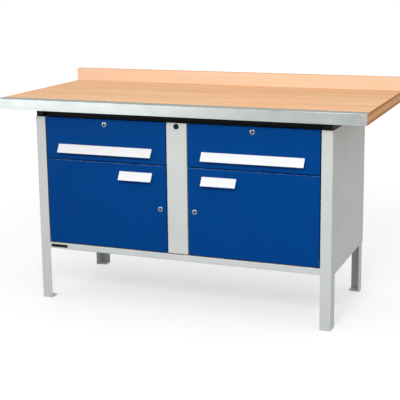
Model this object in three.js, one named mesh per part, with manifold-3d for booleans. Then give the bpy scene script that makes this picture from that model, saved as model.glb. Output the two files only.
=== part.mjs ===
// A workbench with two drawers over two cupboards, in millimetres.
// +X runs along the bench to the right, +Y to its rear and +Z up.
// The origin is on the floor, under the middle of the worktop.
import * as THREE from 'three';
import { mergeVertices } from 'three/addons/utils/BufferGeometryUtils.js';
import Module from 'manifold-3d';

// Worktop
const WORKTOP_LENGTH = 1500;
const WORKTOP_DEPTH = 700;
const WORKTOP_THICKNESS = 44;
const WORKTOP_HEIGHT = 840; // floor to work surface
const UPSTAND_HEIGHT = 56; // above the work surface
const UPSTAND_THICKNESS = 25;
const UPSTAND_REBATE = 8; // how deep the upstand is let into the board
const EDGE_STRIP_SHEET = 2; // steel angle along the front edge
const EDGE_STRIP_LIP = 42;

// Frame
const FRAME_WIDTH = 1232;
const FRAME_DEPTH = 540;
const FRONT_OVERHANG = 60; // worktop front edge to the frame's front face
const LEG_FACE_WIDTH = 43;
const LEG_SIDE_WIDTH = 54;
const LEG_SHEET = 3;
const LEG_BEND_RADIUS = 2; // inside of the fold
const LEG_PLATE_THICKNESS = 5; // foot and head plates
const FOOT_PLATE_DEPTH = 40; // leg's face to the foot plate's inner edge
const TOP_GAP = 32; // height of the top frame between legs and worktop
const TOP_RAIL_WIDTH = 30;
const TOP_RAIL_SHEET = 2;
const TOP_RAIL_CLEARANCE = 2; // front rail behind the backs of the fronts
const TOP_RAIL_INSET = 4; // side rails in from the frame's outer faces
const BOTTOM_RAIL_BASE = 216; // floor to the rail's underside
const BOTTOM_RAIL_HEIGHT = 25;
const BOTTOM_RAIL_SHEET = 2;
const SIDE_PANEL_BASE = 208; // floor to the panel's lower edge
const SIDE_PANEL_LIP = 15;

// Cabinets
const SHEET = 1.5; // folded sheet of walls, panels, doors and drawers
const COLUMN_WIDTH = 84;
const REAR_PANEL_SIDE_GAP = 18; // rear panel to the rear legs' sides
const FLOOR_LIP = 18;
const SHELF_LIP = 20;
const SHELF_FRONT_SET_BACK = 18; // shelf behind the front edges of the walls
const SHELF_REAR_GAP = 15;

// Fronts
const DRAWER_FRONT_HEIGHT = 168;
const FRONT_DEPTH = 20; // folded depth of doors and drawer fronts
const FRONT_GAP = 4; // fronts to frame
const FRONT_LIP = 8; // return folded in at the back of a front
const HANDLE_PROJECTION = 22;
const HANDLE_HEIGHT = 32;
const HANDLE_SHEET = 2;
const HANDLE_FLANGE_HEIGHT = 22;
const DRAWER_HANDLE_LENGTH = 407;
const DRAWER_HANDLE_RISE = 61; // drawer front's lower edge to the handle's upper edge
const DOOR_HANDLE_LENGTH = 140;
const DOOR_HANDLE_DROP = 31.6; // door's upper edge to the handle's
const DOOR_HANDLE_EDGE = 58; // door's inner edge to the handle's end

// Door hinges
const HINGE_PIN_RADIUS = 3;
const HINGE_PIN_LENGTH = 18; // reach into the door
const HINGE_COLLAR_RADIUS = 7;
const HINGE_INSET = 10; // door's outer edge to the hinge axis
const HINGE_DEPTH = 9; // door's front face to the hinge axis
const HINGE_TAB_SHEET = 1.5;
const HINGE_TAB_WIDTH = 18;
const HINGE_TAB_CLEARANCE = 0.85; // tab to the drawer above and the door below

// Locks
const LOCK_FACE_RADIUS = 11;
const LOCK_FACE_THICKNESS = 2.5;
const LOCK_BARREL_RADIUS = 9;
const LOCK_DROP = 19.5; // drawer front's top edge to the lock's axis
const LOCK_EDGE = 26; // door's inner edge to the lock's axis
const CAM_REACH = 28; // lock's axis to the centre of the cam's round end
const CAM_WIDTH = 16;
const CAM_THICKNESS = 3;
const CAM_CLEARANCE = 0.8; // cam to the rail that it hooks behind
const LATCH_SLOT_CLEARANCE = 2;
const LATCH_SLOT_WEB = 3; // column sheet left behind a latch slot

// Drawers and their slides
const DRAWER_BOX_SHEET = 1.5;
const DRAWER_BOX_BASE_GAP = 10; // divider to the box's underside
const DRAWER_BOX_LOCK_GAP = 20; // box's upper edge to the lock's cam
const DRAWER_REAR_GAP = 45; // box to the rear panel
const SLIDE_THICKNESS = 12.7;
const SLIDE_HEIGHT = 45;
const SLIDE_SHEET = 1.5;
const SLIDE_RUNNING_GAP = 0.4;
const SLIDE_WEB_GAP = 1.4; // fixed rail's web to the carriage's
const SLIDE_SET_BACK = 4; // slides behind the front edges of the walls

// Plug in the column
const PLUG_FACE_RADIUS = 11;
const PLUG_BODY_RADIUS = 9;
const PLUG_FACE_THICKNESS = 1.5;
const PLUG_BODY_LENGTH = 6;
const PLUG_DROP = 14; // column's top edge to the plug's axis

const TOUCH = 0.3; // gap left between pieces that touch
const CUT_MARGIN = 1; // how far a cutting shape runs past what it cuts
const WELD_DISTANCE = 1e-4;
const ROUND_SIDES = 32;
const BEND_STEPS = 6;

// Levels and planes worked out from the sizes above
const worktopUnderZ = WORKTOP_HEIGHT - WORKTOP_THICKNESS;
const legTopZ = worktopUnderZ - TOP_GAP;
const plateUnderZ = legTopZ - LEG_PLATE_THICKNESS;
const worktopFrontY = -WORKTOP_DEPTH / 2;
const frameFrontY = worktopFrontY + FRONT_OVERHANG;
const frameRearY = frameFrontY + FRAME_DEPTH;
const frameHalf = FRAME_WIDTH / 2;
const rearLegHalf = frameHalf - SHEET - TOUCH;
const rearPanelBackY = frameRearY - LEG_SHEET - TOUCH;
const rearPanelFrontY = rearPanelBackY - SHEET;
const bottomRailTopZ = BOTTOM_RAIL_BASE + BOTTOM_RAIL_HEIGHT;

const topFrameInset = FRONT_DEPTH + TOP_RAIL_CLEARANCE;
const topFrameFrontY = frameFrontY + topFrameInset;
const topFrameRearY = frameRearY - topFrameInset;
const topFrameHalf = frameHalf - TOP_RAIL_INSET;
const camFrontY = topFrameFrontY + TOP_RAIL_SHEET + CAM_CLEARANCE;
const camRearY = camFrontY + CAM_THICKNESS;
const columnRearY = camRearY + LATCH_SLOT_CLEARANCE + LATCH_SLOT_WEB;
const columnDepth = columnRearY - frameFrontY;
const wallFrontY = columnRearY + TOUCH;
const wallRearY = rearPanelFrontY - TOUCH;
const wallTopZ = plateUnderZ - TOUCH;

const bayInnerX = COLUMN_WIDTH / 2;
const bayOuterX = frameHalf - LEG_FACE_WIDTH;
const bayWidth = bayOuterX - bayInnerX;
const bayCentreX = (bayInnerX + bayOuterX) / 2;
const frontWidth = bayWidth - 2 * FRONT_GAP;
const drawerBaseZ = legTopZ - DRAWER_FRONT_HEIGHT;
const dividerTopZ = drawerBaseZ - HINGE_TAB_CLEARANCE;
const dividerBaseZ = dividerTopZ - HINGE_TAB_SHEET;
const doorBaseZ = bottomRailTopZ + FRONT_GAP;
const doorHeight = dividerBaseZ - HINGE_TAB_CLEARANCE - doorBaseZ;
const doorLockZ = doorHeight / 2;
const columnHeight = legTopZ - doorBaseZ;

const FINISHES = {
  beech: { color: 0xdcb48c, roughness: 0.5, metalness: 0 },
  paleBeech: { color: 0xf0cda8, roughness: 0.5, metalness: 0 },
  edgeSteel: { color: 0xd2d6d4, roughness: 0.35, metalness: 0.6 },
  greyPaint: { color: 0xc6c9c7, roughness: 0.45, metalness: 0.1 },
  bluePaint: { color: 0x004488, roughness: 0.4, metalness: 0.1 },
  blackPaint: { color: 0x141516, roughness: 0.6, metalness: 0.1 },
  handlePaint: { color: 0xf2f3f3, roughness: 0.4, metalness: 0.1 },
  zincSteel: { color: 0xb4b8ba, roughness: 0.35, metalness: 0.8 },
  chrome: { color: 0xd8dadc, roughness: 0.15, metalness: 1 },
  blackPlastic: { color: 0x0c0c0d, roughness: 0.5, metalness: 0 },
};

const SIDES = [
  { name: 'left', sign: -1 },
  { name: 'right', sign: 1 },
];

const wasm = await Module();
wasm.setup();

function toSolid(geometry) {
  const bare = geometry.clone();
  bare.deleteAttribute('normal');
  bare.deleteAttribute('uv');
  const welded = mergeVertices(bare, WELD_DISTANCE);
  return new wasm.Manifold(
    new wasm.Mesh({
      numProp: 3,
      vertProperties: new Float32Array(welded.attributes.position.array),
      triVerts: new Uint32Array(welded.index.array),
    })
  );
}

function toGeometry(solid) {
  const mesh = solid.getMesh();
  const geometry = new THREE.BufferGeometry();
  geometry.setAttribute('position', new THREE.BufferAttribute(mesh.vertProperties, 3));
  geometry.setIndex(new THREE.BufferAttribute(mesh.triVerts, 1));
  geometry.computeVertexNormals();
  return geometry;
}

function join(...geometries) {
  return toGeometry(geometries.map(toSolid).reduce((sum, solid) => sum.add(solid)));
}

function cut(body, ...tools) {
  return toGeometry(tools.map(toSolid).reduce((rest, tool) => rest.subtract(tool), toSolid(body)));
}

// A box from one corner to the other, in any order along each axis
function block([x0, x1], [y0, y1], [z0, z1]) {
  const geometry = new THREE.BoxGeometry(Math.abs(x1 - x0), Math.abs(y1 - y0), Math.abs(z1 - z0));
  geometry.translate((x0 + x1) / 2, (y0 + y1) / 2, (z0 + z1) / 2);
  return geometry;
}

function rod(radius, [from, to], axis) {
  const geometry = new THREE.CylinderGeometry(radius, radius, to - from, ROUND_SIDES);
  geometry.translate(0, (from + to) / 2, 0);
  if (axis === 'z') {
    geometry.rotateX(Math.PI / 2);
  }
  return geometry;
}

// A turned piece about Y: [radius, height] pairs from its lower to its upper end
function turned(profile) {
  const points = profile.map(([radius, height]) => new THREE.Vector2(radius, height));
  return new THREE.LatheGeometry(points, ROUND_SIDES);
}

function extrude(outline, depth) {
  const shape = new THREE.Shape(outline.map(([a, b]) => new THREE.Vector2(a, b)));
  return new THREE.ExtrudeGeometry(shape, { depth, bevelEnabled: false });
}

// A section of [y, z] points, run along X and centred on x = 0
function alongX(section, length) {
  const geometry = extrude(section, length);
  geometry.applyMatrix4(
    new THREE.Matrix4().makeBasis(
      new THREE.Vector3(0, 1, 0),
      new THREE.Vector3(0, 0, 1),
      new THREE.Vector3(1, 0, 0)
    )
  );
  geometry.translate(-length / 2, 0, 0);
  return geometry;
}

// A section of [x, z] points, run along Y from one plane to another
function alongY(section, [from, to]) {
  const geometry = extrude(section.map(([x, z]) => [z, x]), to - from);
  geometry.applyMatrix4(
    new THREE.Matrix4().makeBasis(
      new THREE.Vector3(0, 0, 1),
      new THREE.Vector3(1, 0, 0),
      new THREE.Vector3(0, 1, 0)
    )
  );
  geometry.translate(0, from, 0);
  return geometry;
}

function add(parent, name, geometry, finish, position = [0, 0, 0]) {
  const mesh = new THREE.Mesh(geometry, new THREE.MeshStandardMaterial(FINISHES[finish]));
  mesh.name = name;
  mesh.position.set(...position);
  parent.add(mesh);
  return mesh;
}

function groupAt(parent, x, y, z) {
  const group = new THREE.Group();
  group.position.set(x, y, z);
  parent.add(group);
  return group;
}

const bench = new THREE.Group();

// Board, steel front edge let in flush, and upstand let into the rear of the board
function addWorktop() {
  const top = groupAt(bench, 0, worktopFrontY, worktopUnderZ);
  const boardFront = EDGE_STRIP_SHEET + TOUCH;
  const rebateRear = EDGE_STRIP_LIP + TOUCH;
  const rebateFloor = WORKTOP_THICKNESS - EDGE_STRIP_SHEET - TOUCH;
  const upstandFront = WORKTOP_DEPTH - UPSTAND_THICKNESS;
  const upstandSeat = WORKTOP_THICKNESS - UPSTAND_REBATE;
  const board = [
    [boardFront, 0],
    [WORKTOP_DEPTH, 0],
    [WORKTOP_DEPTH, upstandSeat],
    [upstandFront - TOUCH, upstandSeat],
    [upstandFront - TOUCH, WORKTOP_THICKNESS],
    [rebateRear, WORKTOP_THICKNESS],
    [rebateRear, rebateFloor],
    [boardFront, rebateFloor],
  ];
  add(top, 'worktop', alongX(board, WORKTOP_LENGTH), 'beech');

  const lipUnder = WORKTOP_THICKNESS - EDGE_STRIP_SHEET;
  const strip = [
    [0, 0],
    [EDGE_STRIP_SHEET, 0],
    [EDGE_STRIP_SHEET, lipUnder],
    [EDGE_STRIP_LIP, lipUnder],
    [EDGE_STRIP_LIP, WORKTOP_THICKNESS],
    [0, WORKTOP_THICKNESS],
  ];
  add(top, 'worktop_front_edge', alongX(strip, WORKTOP_LENGTH), 'edgeSteel');

  const upstand = block(
    [-WORKTOP_LENGTH / 2, WORKTOP_LENGTH / 2],
    [upstandFront, WORKTOP_DEPTH],
    [upstandSeat + TOUCH, WORKTOP_THICKNESS + UPSTAND_HEIGHT]
  );
  add(top, 'rear_upstand', upstand, 'paleBeech');
}

// A folded L-section with a foot plate and a head plate welded in.
// The outer corner is at the origin, and inX and inY point into the bench.
function legGeometry(inX, inY) {
  const at = (x, y) => [inX * x, inY * y];
  const outerRadius = LEG_BEND_RADIUS + LEG_SHEET;
  const fold = (radius, step) => {
    const angle = (step / BEND_STEPS) * (Math.PI / 2);
    return at(outerRadius - radius * Math.sin(angle), outerRadius - radius * Math.cos(angle));
  };
  const outerFold = [];
  const innerFold = [];
  for (let step = 0; step <= BEND_STEPS; step += 1) {
    outerFold.push(fold(outerRadius, step));
    innerFold.push(fold(LEG_BEND_RADIUS, BEND_STEPS - step));
  }
  const section = [
    at(LEG_FACE_WIDTH, LEG_SHEET),
    at(LEG_FACE_WIDTH, 0),
    ...outerFold,
    at(0, LEG_SIDE_WIDTH),
    at(LEG_SHEET, LEG_SIDE_WIDTH),
    ...innerFold,
  ];
  const overlap = LEG_SHEET / 2;
  const plateX = [inX * overlap, inX * LEG_FACE_WIDTH];
  const head = block(plateX, [inY * overlap, inY * LEG_SIDE_WIDTH], [plateUnderZ, legTopZ]);
  const foot = block(plateX, [inY * overlap, inY * FOOT_PLATE_DEPTH], [0, LEG_PLATE_THICKNESS]);
  return join(extrude(section, legTopZ), head, foot);
}

function addLegs() {
  for (const { name, sign } of SIDES) {
    add(bench, `leg_front_${name}`, legGeometry(-sign, 1), 'greyPaint', [sign * frameHalf, frameFrontY, 0]);
    add(bench, `leg_rear_${name}`, legGeometry(-sign, -1), 'greyPaint', [sign * rearLegHalf, frameRearY, 0]);
  }
}

// Two dark side rails on the legs' head plates, with a front and a rear rail set back between them
function addTopFrame() {
  const top = groupAt(bench, 0, 0, legTopZ + TOUCH);
  const height = TOP_GAP - 2 * TOUCH;
  const sideY = [frameFrontY + TOP_RAIL_INSET, frameRearY - TOP_RAIL_INSET];
  for (const { name, sign } of SIDES) {
    const outerX = sign * topFrameHalf;
    const innerX = sign * (topFrameHalf - TOP_RAIL_WIDTH);
    const bore = block(
      [outerX - sign * TOP_RAIL_SHEET, innerX + sign * TOP_RAIL_SHEET],
      [sideY[0] - CUT_MARGIN, sideY[1] + CUT_MARGIN],
      [TOP_RAIL_SHEET, height - TOP_RAIL_SHEET]
    );
    const tube = block([outerX, innerX], sideY, [0, height]);
    add(top, `side_top_rail_${name}`, cut(tube, bore), 'blackPaint');
  }
  const length = 2 * (topFrameHalf - TOP_RAIL_WIDTH - TOUCH);
  const ends = [
    { name: 'front_top_rail', y: topFrameFrontY, inward: 1 },
    { name: 'rear_top_rail', y: topFrameRearY, inward: -1 },
  ];
  for (const { name, y, inward } of ends) {
    const angle = [
      [0, 0],
      [inward * TOP_RAIL_SHEET, 0],
      [inward * TOP_RAIL_SHEET, height - TOP_RAIL_SHEET],
      [inward * TOP_RAIL_WIDTH, height - TOP_RAIL_SHEET],
      [inward * TOP_RAIL_WIDTH, height],
      [0, height],
    ];
    add(top, name, alongX(angle, length), 'blackPaint', [0, y, 0]);
  }
}

// Side panels flush with the front legs, rear panel, bottom rail and cabinet floor
function addPanels() {
  const panelFrontY = frameFrontY + LEG_SIDE_WIDTH + TOUCH;
  const lipRearY = frameRearY - LEG_SIDE_WIDTH - TOUCH;
  for (const { name, sign } of SIDES) {
    const skinX = [sign * frameHalf, sign * (frameHalf - SHEET)];
    const lipX = [sign * frameHalf, sign * (frameHalf - SIDE_PANEL_LIP)];
    const lipY = [panelFrontY, lipRearY];
    const panel = join(
      block(skinX, [panelFrontY, frameRearY], [SIDE_PANEL_BASE, legTopZ]),
      block(lipX, lipY, [SIDE_PANEL_BASE, SIDE_PANEL_BASE + SHEET]),
      block(lipX, lipY, [legTopZ - SHEET, legTopZ])
    );
    add(bench, `side_panel_${name}`, panel, 'greyPaint');
  }

  const rearHalf = rearLegHalf - LEG_SHEET - REAR_PANEL_SIDE_GAP;
  const rear = block([-rearHalf, rearHalf], [rearPanelFrontY, rearPanelBackY], [BOTTOM_RAIL_BASE, wallTopZ]);
  add(bench, 'rear_panel', rear, 'greyPaint');

  const rail = [
    [0, 0],
    [columnDepth, 0],
    [columnDepth, BOTTOM_RAIL_SHEET],
    [BOTTOM_RAIL_SHEET, BOTTOM_RAIL_SHEET],
    [BOTTOM_RAIL_SHEET, BOTTOM_RAIL_HEIGHT - BOTTOM_RAIL_SHEET],
    [columnDepth, BOTTOM_RAIL_HEIGHT - BOTTOM_RAIL_SHEET],
    [columnDepth, BOTTOM_RAIL_HEIGHT],
    [0, BOTTOM_RAIL_HEIGHT],
  ];
  const railLength = 2 * (bayOuterX - TOUCH);
  add(bench, 'bottom_front_rail', alongX(rail, railLength), 'greyPaint', [0, frameFrontY, BOTTOM_RAIL_BASE]);

  const lipUnder = bottomRailTopZ - FLOOR_LIP;
  const floor = [
    [wallFrontY, lipUnder],
    [wallFrontY + SHEET, lipUnder],
    [wallFrontY + SHEET, bottomRailTopZ - SHEET],
    [wallRearY - SHEET, bottomRailTopZ - SHEET],
    [wallRearY - SHEET, lipUnder],
    [wallRearY, lipUnder],
    [wallRearY, bottomRailTopZ],
    [wallFrontY, bottomRailTopZ],
  ];
  add(bench, 'cabinet_floor', alongX(floor, 2 * (bayOuterX + SHEET)), 'greyPaint');
}

// A channel between the cupboards, with slots for the door cams and a plug
function addColumn() {
  const column = groupAt(bench, 0, frameFrontY, doorBaseZ);
  const plugZ = columnHeight - PLUG_DROP;
  const channel = block([-bayInnerX, bayInnerX], [0, columnDepth], [0, columnHeight]);
  const hollow = block(
    [-bayInnerX + SHEET, bayInnerX - SHEET],
    [SHEET, columnDepth + CUT_MARGIN],
    [-CUT_MARGIN, columnHeight + CUT_MARGIN]
  );
  const latchSlots = block(
    [-bayInnerX - CUT_MARGIN, bayInnerX + CUT_MARGIN],
    [camFrontY - LATCH_SLOT_CLEARANCE - frameFrontY, camRearY + LATCH_SLOT_CLEARANCE - frameFrontY],
    [doorLockZ - CAM_REACH, doorLockZ + CAM_REACH]
  );
  const plugHole = rod(PLUG_BODY_RADIUS + TOUCH, [-CUT_MARGIN, SHEET + CUT_MARGIN], 'y');
  plugHole.translate(0, 0, plugZ);
  add(column, 'centre_column', cut(channel, hollow, latchSlots, plugHole), 'greyPaint');

  const plug = turned([
    [0, -PLUG_FACE_THICKNESS - TOUCH],
    [PLUG_FACE_RADIUS, -PLUG_FACE_THICKNESS - TOUCH],
    [PLUG_FACE_RADIUS, -TOUCH],
    [PLUG_BODY_RADIUS, -TOUCH],
    [PLUG_BODY_RADIUS, PLUG_BODY_LENGTH],
    [0, PLUG_BODY_LENGTH],
  ]);
  add(column, 'column_plug', plug, 'blackPlastic', [0, 0, plugZ]);
}

// Walls, divider with its hinge tab, and shelf of one cupboard
function addCabinet({ name, sign }) {
  const wallY = [wallFrontY, wallRearY];
  const wallZ = [bottomRailTopZ + TOUCH, wallTopZ];
  const innerX = [sign * bayInnerX, sign * (bayInnerX - SHEET)];
  const outerX = [sign * bayOuterX, sign * (bayOuterX + SHEET)];
  add(bench, `cabinet_inner_wall_${name}`, block(innerX, wallY, wallZ), 'greyPaint');
  add(bench, `cabinet_outer_wall_${name}`, block(outerX, wallY, wallZ), 'greyPaint');

  const bay = groupAt(bench, sign * bayCentreX, 0, 0);
  const half = bayWidth / 2 - TOUCH;
  const hingeX = frontWidth / 2 - HINGE_INSET;
  const tabFrontY = frameFrontY + SHEET;
  const outline = [
    [-half, wallFrontY],
    [hingeX - HINGE_TAB_WIDTH / 2, wallFrontY],
    [hingeX - HINGE_TAB_WIDTH / 2, tabFrontY],
    [hingeX + HINGE_TAB_WIDTH / 2, tabFrontY],
    [hingeX + HINGE_TAB_WIDTH / 2, wallFrontY],
    [half, wallFrontY],
    [half, wallRearY],
    [-half, wallRearY],
  ];
  const divider = extrude(outline.map(([x, y]) => [sign * x, y]), HINGE_TAB_SHEET);
  add(bay, `cabinet_divider_${name}`, divider, 'greyPaint', [0, 0, dividerBaseZ]);

  const shelfTopZ = (bottomRailTopZ + dividerBaseZ) / 2;
  const shelfFrontY = wallFrontY + SHELF_FRONT_SET_BACK;
  const shelfRearY = wallRearY - SHELF_REAR_GAP;
  const shelf = [
    [shelfFrontY, -SHELF_LIP],
    [shelfFrontY + SHEET, -SHELF_LIP],
    [shelfFrontY + SHEET, -SHEET],
    [shelfRearY - SHEET, -SHEET],
    [shelfRearY - SHEET, -SHELF_LIP],
    [shelfRearY, -SHELF_LIP],
    [shelfRearY, 0],
    [shelfFrontY, 0],
  ];
  add(bay, `shelf_${name}`, alongX(shelf, 2 * half), 'greyPaint', [0, 0, shelfTopZ]);
}

// A front folded from sheet: a pan open at the back, with returned edges
function frontPan(height) {
  const half = frontWidth / 2;
  const pan = block([-half, half], [0, FRONT_DEPTH], [0, height]);
  const hollow = block([-half + SHEET, half - SHEET], [SHEET, FRONT_DEPTH - SHEET], [SHEET, height - SHEET]);
  const opening = block(
    [-half + FRONT_LIP, half - FRONT_LIP],
    [FRONT_DEPTH - SHEET - CUT_MARGIN, FRONT_DEPTH + CUT_MARGIN],
    [FRONT_LIP, height - FRONT_LIP]
  );
  return cut(pan, hollow, opening);
}

function lockHole(x, z) {
  const hole = rod(LOCK_BARREL_RADIUS + TOUCH, [-CUT_MARGIN, FRONT_DEPTH + CUT_MARGIN], 'y');
  hole.translate(x, 0, z);
  return hole;
}

// A bent strip: a flange on the front and a blade that slants down and out
function handleGeometry(length) {
  const flangeFront = -TOUCH - HANDLE_SHEET;
  const blade = new THREE.Vector2(HANDLE_PROJECTION - HANDLE_SHEET, HANDLE_HEIGHT);
  const bladeSpan = (HANDLE_SHEET * blade.length()) / blade.y; // sheet measured along Y
  const apexDrop = (bladeSpan * blade.y) / blade.x;
  const section = [
    [-TOUCH, 0],
    [flangeFront, 0],
    [flangeFront - blade.x, -blade.y],
    [flangeFront - blade.x + bladeSpan, -blade.y],
    [flangeFront, -apexDrop],
    [flangeFront, -HANDLE_FLANGE_HEIGHT],
    [-TOUCH, -HANDLE_FLANGE_HEIGHT],
  ];
  return alongX(section, length);
}

// A lock barrel with its face, and a cam on its inner end.
// The cam points along camDirection in the front's plane when unlocked.
function addLock(front, name, x, z, camDirection) {
  const lock = groupAt(front, x, 0, z);
  const camFront = camFrontY - frameFrontY;
  const barrel = turned([
    [0, -LOCK_FACE_THICKNESS - TOUCH],
    [LOCK_FACE_RADIUS, -LOCK_FACE_THICKNESS - TOUCH],
    [LOCK_FACE_RADIUS, -TOUCH],
    [LOCK_BARREL_RADIUS, -TOUCH],
    [LOCK_BARREL_RADIUS, camFront - TOUCH],
    [0, camFront - TOUCH],
  ]);
  add(lock, `${name}_lock_barrel`, barrel, 'chrome');

  const outline = [];
  const halfWidth = CAM_WIDTH / 2;
  const rounds = [
    { centre: CAM_REACH, start: -Math.PI / 2 },
    { centre: 0, start: Math.PI / 2 },
  ];
  for (const { centre, start } of rounds) {
    for (let step = 0; step <= 2 * BEND_STEPS; step += 1) {
      const angle = start + (step / (2 * BEND_STEPS)) * Math.PI;
      outline.push([centre + halfWidth * Math.cos(angle), halfWidth * Math.sin(angle)]);
    }
  }
  const [alongCamX, alongCamZ] = camDirection;
  const turnedOutline = outline.map(([a, b]) => [
    alongCamX * a - alongCamZ * b,
    alongCamZ * a + alongCamX * b,
  ]);
  const cam = alongY(turnedOutline, [camFront, camFront + CAM_THICKNESS]);
  add(lock, `${name}_lock_cam`, cam, 'zincSteel');
}

function addDrawer({ name, sign }) {
  const drawer = groupAt(bench, sign * bayCentreX, frameFrontY, drawerBaseZ);
  const lockZ = DRAWER_FRONT_HEIGHT - LOCK_DROP;
  const front = cut(frontPan(DRAWER_FRONT_HEIGHT), lockHole(0, lockZ));
  add(drawer, `drawer_front_${name}`, front, 'bluePaint');

  const half = bayWidth / 2 - SLIDE_THICKNESS - 2 * TOUCH;
  const frontY = FRONT_DEPTH + TOUCH;
  const rearY = drawerRearY() - frameFrontY;
  const [baseZ, topZ] = drawerBoxZ();
  const tray = block([-half, half], [frontY, rearY], [baseZ, topZ]);
  const inside = block(
    [-half + DRAWER_BOX_SHEET, half - DRAWER_BOX_SHEET],
    [frontY + DRAWER_BOX_SHEET, rearY - DRAWER_BOX_SHEET],
    [baseZ + DRAWER_BOX_SHEET, topZ + CUT_MARGIN]
  );
  add(drawer, `drawer_box_${name}`, cut(tray, inside), 'greyPaint');

  const handleAt = [0, 0, DRAWER_HANDLE_RISE];
  add(drawer, `drawer_handle_${name}`, handleGeometry(DRAWER_HANDLE_LENGTH), 'handlePaint', handleAt);
  addLock(drawer, `drawer_${name}`, 0, lockZ, [-sign, 0]);
}

function drawerRearY() {
  return wallRearY - DRAWER_REAR_GAP;
}

// Lower and upper edge of the drawer box above the drawer front's lower edge
function drawerBoxZ() {
  const baseZ = dividerTopZ + DRAWER_BOX_BASE_GAP - drawerBaseZ;
  const topZ = DRAWER_FRONT_HEIGHT - LOCK_DROP - CAM_WIDTH / 2 - DRAWER_BOX_LOCK_GAP;
  return [baseZ, topZ];
}

// Three nested channels on each side of a drawer: rail, carriage and runner
function addSlides({ name, sign }) {
  const [boxBaseZ, boxTopZ] = drawerBoxZ();
  const middleZ = drawerBaseZ + (boxBaseZ + boxTopZ) / 2;
  const slideY = [wallFrontY + SLIDE_SET_BACK, drawerRearY()];
  const step = SLIDE_SHEET + SLIDE_RUNNING_GAP;
  const railWeb = TOUCH;
  const carriageWeb = railWeb + SLIDE_SHEET + SLIDE_WEB_GAP;
  const runnerWeb = TOUCH + SLIDE_THICKNESS;
  const flangeEnd = runnerWeb - SLIDE_SHEET - SLIDE_RUNNING_GAP;
  const runnerEnd = carriageWeb + SLIDE_SHEET + SLIDE_RUNNING_GAP;
  const members = [
    { member: 'rail', web: railWeb, end: flangeEnd, half: SLIDE_HEIGHT / 2 },
    { member: 'carriage', web: carriageWeb, end: flangeEnd, half: SLIDE_HEIGHT / 2 - step },
    { member: 'runner', web: runnerWeb, end: runnerEnd, half: SLIDE_HEIGHT / 2 - 2 * step },
  ];
  const edges = [
    { edge: 'inner', wallX: sign * bayInnerX, toDrawer: sign },
    { edge: 'outer', wallX: sign * bayOuterX, toDrawer: -sign },
  ];
  for (const { edge, wallX, toDrawer } of edges) {
    for (const { member, web, end, half } of members) {
      const webFace = web + Math.sign(end - web) * SLIDE_SHEET;
      const inside = half - SLIDE_SHEET;
      const section = [
        [web, -half],
        [end, -half],
        [end, -inside],
        [webFace, -inside],
        [webFace, inside],
        [end, inside],
        [end, half],
        [web, half],
      ];
      const channel = alongY(section.map(([x, z]) => [toDrawer * x, z]), slideY);
      add(bench, `slide_${member}_${name}_${edge}`, channel, 'zincSteel', [wallX, 0, middleZ]);
    }
  }
}

function addDoor({ name, sign }) {
  const door = groupAt(bench, sign * bayCentreX, frameFrontY, doorBaseZ);
  const inward = -sign;
  const lockX = inward * (frontWidth / 2 - LOCK_EDGE);
  const hingeX = sign * (frontWidth / 2 - HINGE_INSET);
  const hingeHole = rod(HINGE_PIN_RADIUS + TOUCH, [-CUT_MARGIN, doorHeight + CUT_MARGIN], 'z');
  hingeHole.translate(hingeX, HINGE_DEPTH, 0);
  const panel = cut(frontPan(doorHeight), hingeHole, lockHole(lockX, doorLockZ));
  add(door, `door_panel_${name}`, panel, 'bluePaint');

  const handleX = inward * (frontWidth / 2 - DOOR_HANDLE_EDGE - DOOR_HANDLE_LENGTH / 2);
  const handleAt = [handleX, 0, doorHeight - DOOR_HANDLE_DROP];
  add(door, `door_handle_${name}`, handleGeometry(DOOR_HANDLE_LENGTH), 'handlePaint', handleAt);
  addLock(door, `door_${name}`, lockX, doorLockZ, [0, -1]);

  const lowerPin = turned([
    [0, TOUCH - FRONT_GAP],
    [HINGE_COLLAR_RADIUS, TOUCH - FRONT_GAP],
    [HINGE_COLLAR_RADIUS, -TOUCH],
    [HINGE_PIN_RADIUS, -TOUCH],
    [HINGE_PIN_RADIUS, HINGE_PIN_LENGTH],
    [0, HINGE_PIN_LENGTH],
  ]);
  lowerPin.rotateX(Math.PI / 2);
  add(door, `hinge_pin_lower_${name}`, lowerPin, 'zincSteel', [hingeX, HINGE_DEPTH, 0]);
  const upperPin = rod(HINGE_PIN_RADIUS, [-HINGE_PIN_LENGTH, HINGE_TAB_CLEARANCE - TOUCH], 'z');
  add(door, `hinge_pin_upper_${name}`, upperPin, 'zincSteel', [hingeX, HINGE_DEPTH, doorHeight]);
}

addWorktop();
addLegs();
addTopFrame();
addPanels();
addColumn();
for (const side of SIDES) {
  addCabinet(side);
  addDrawer(side);
  addSlides(side);
  addDoor(side);
}

export default bench;
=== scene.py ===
"""Looks of a workbench with two drawers and two cupboards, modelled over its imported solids.

Each piece is modelled in metres where its solid stands, rides on the same body and takes the
finish that its solid has in the record.
"""
import math
from contextlib import contextmanager

import bmesh
import bpy
from bpy.props import FloatProperty, FloatVectorProperty, PointerProperty
from mathutils import Matrix, Vector


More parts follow.
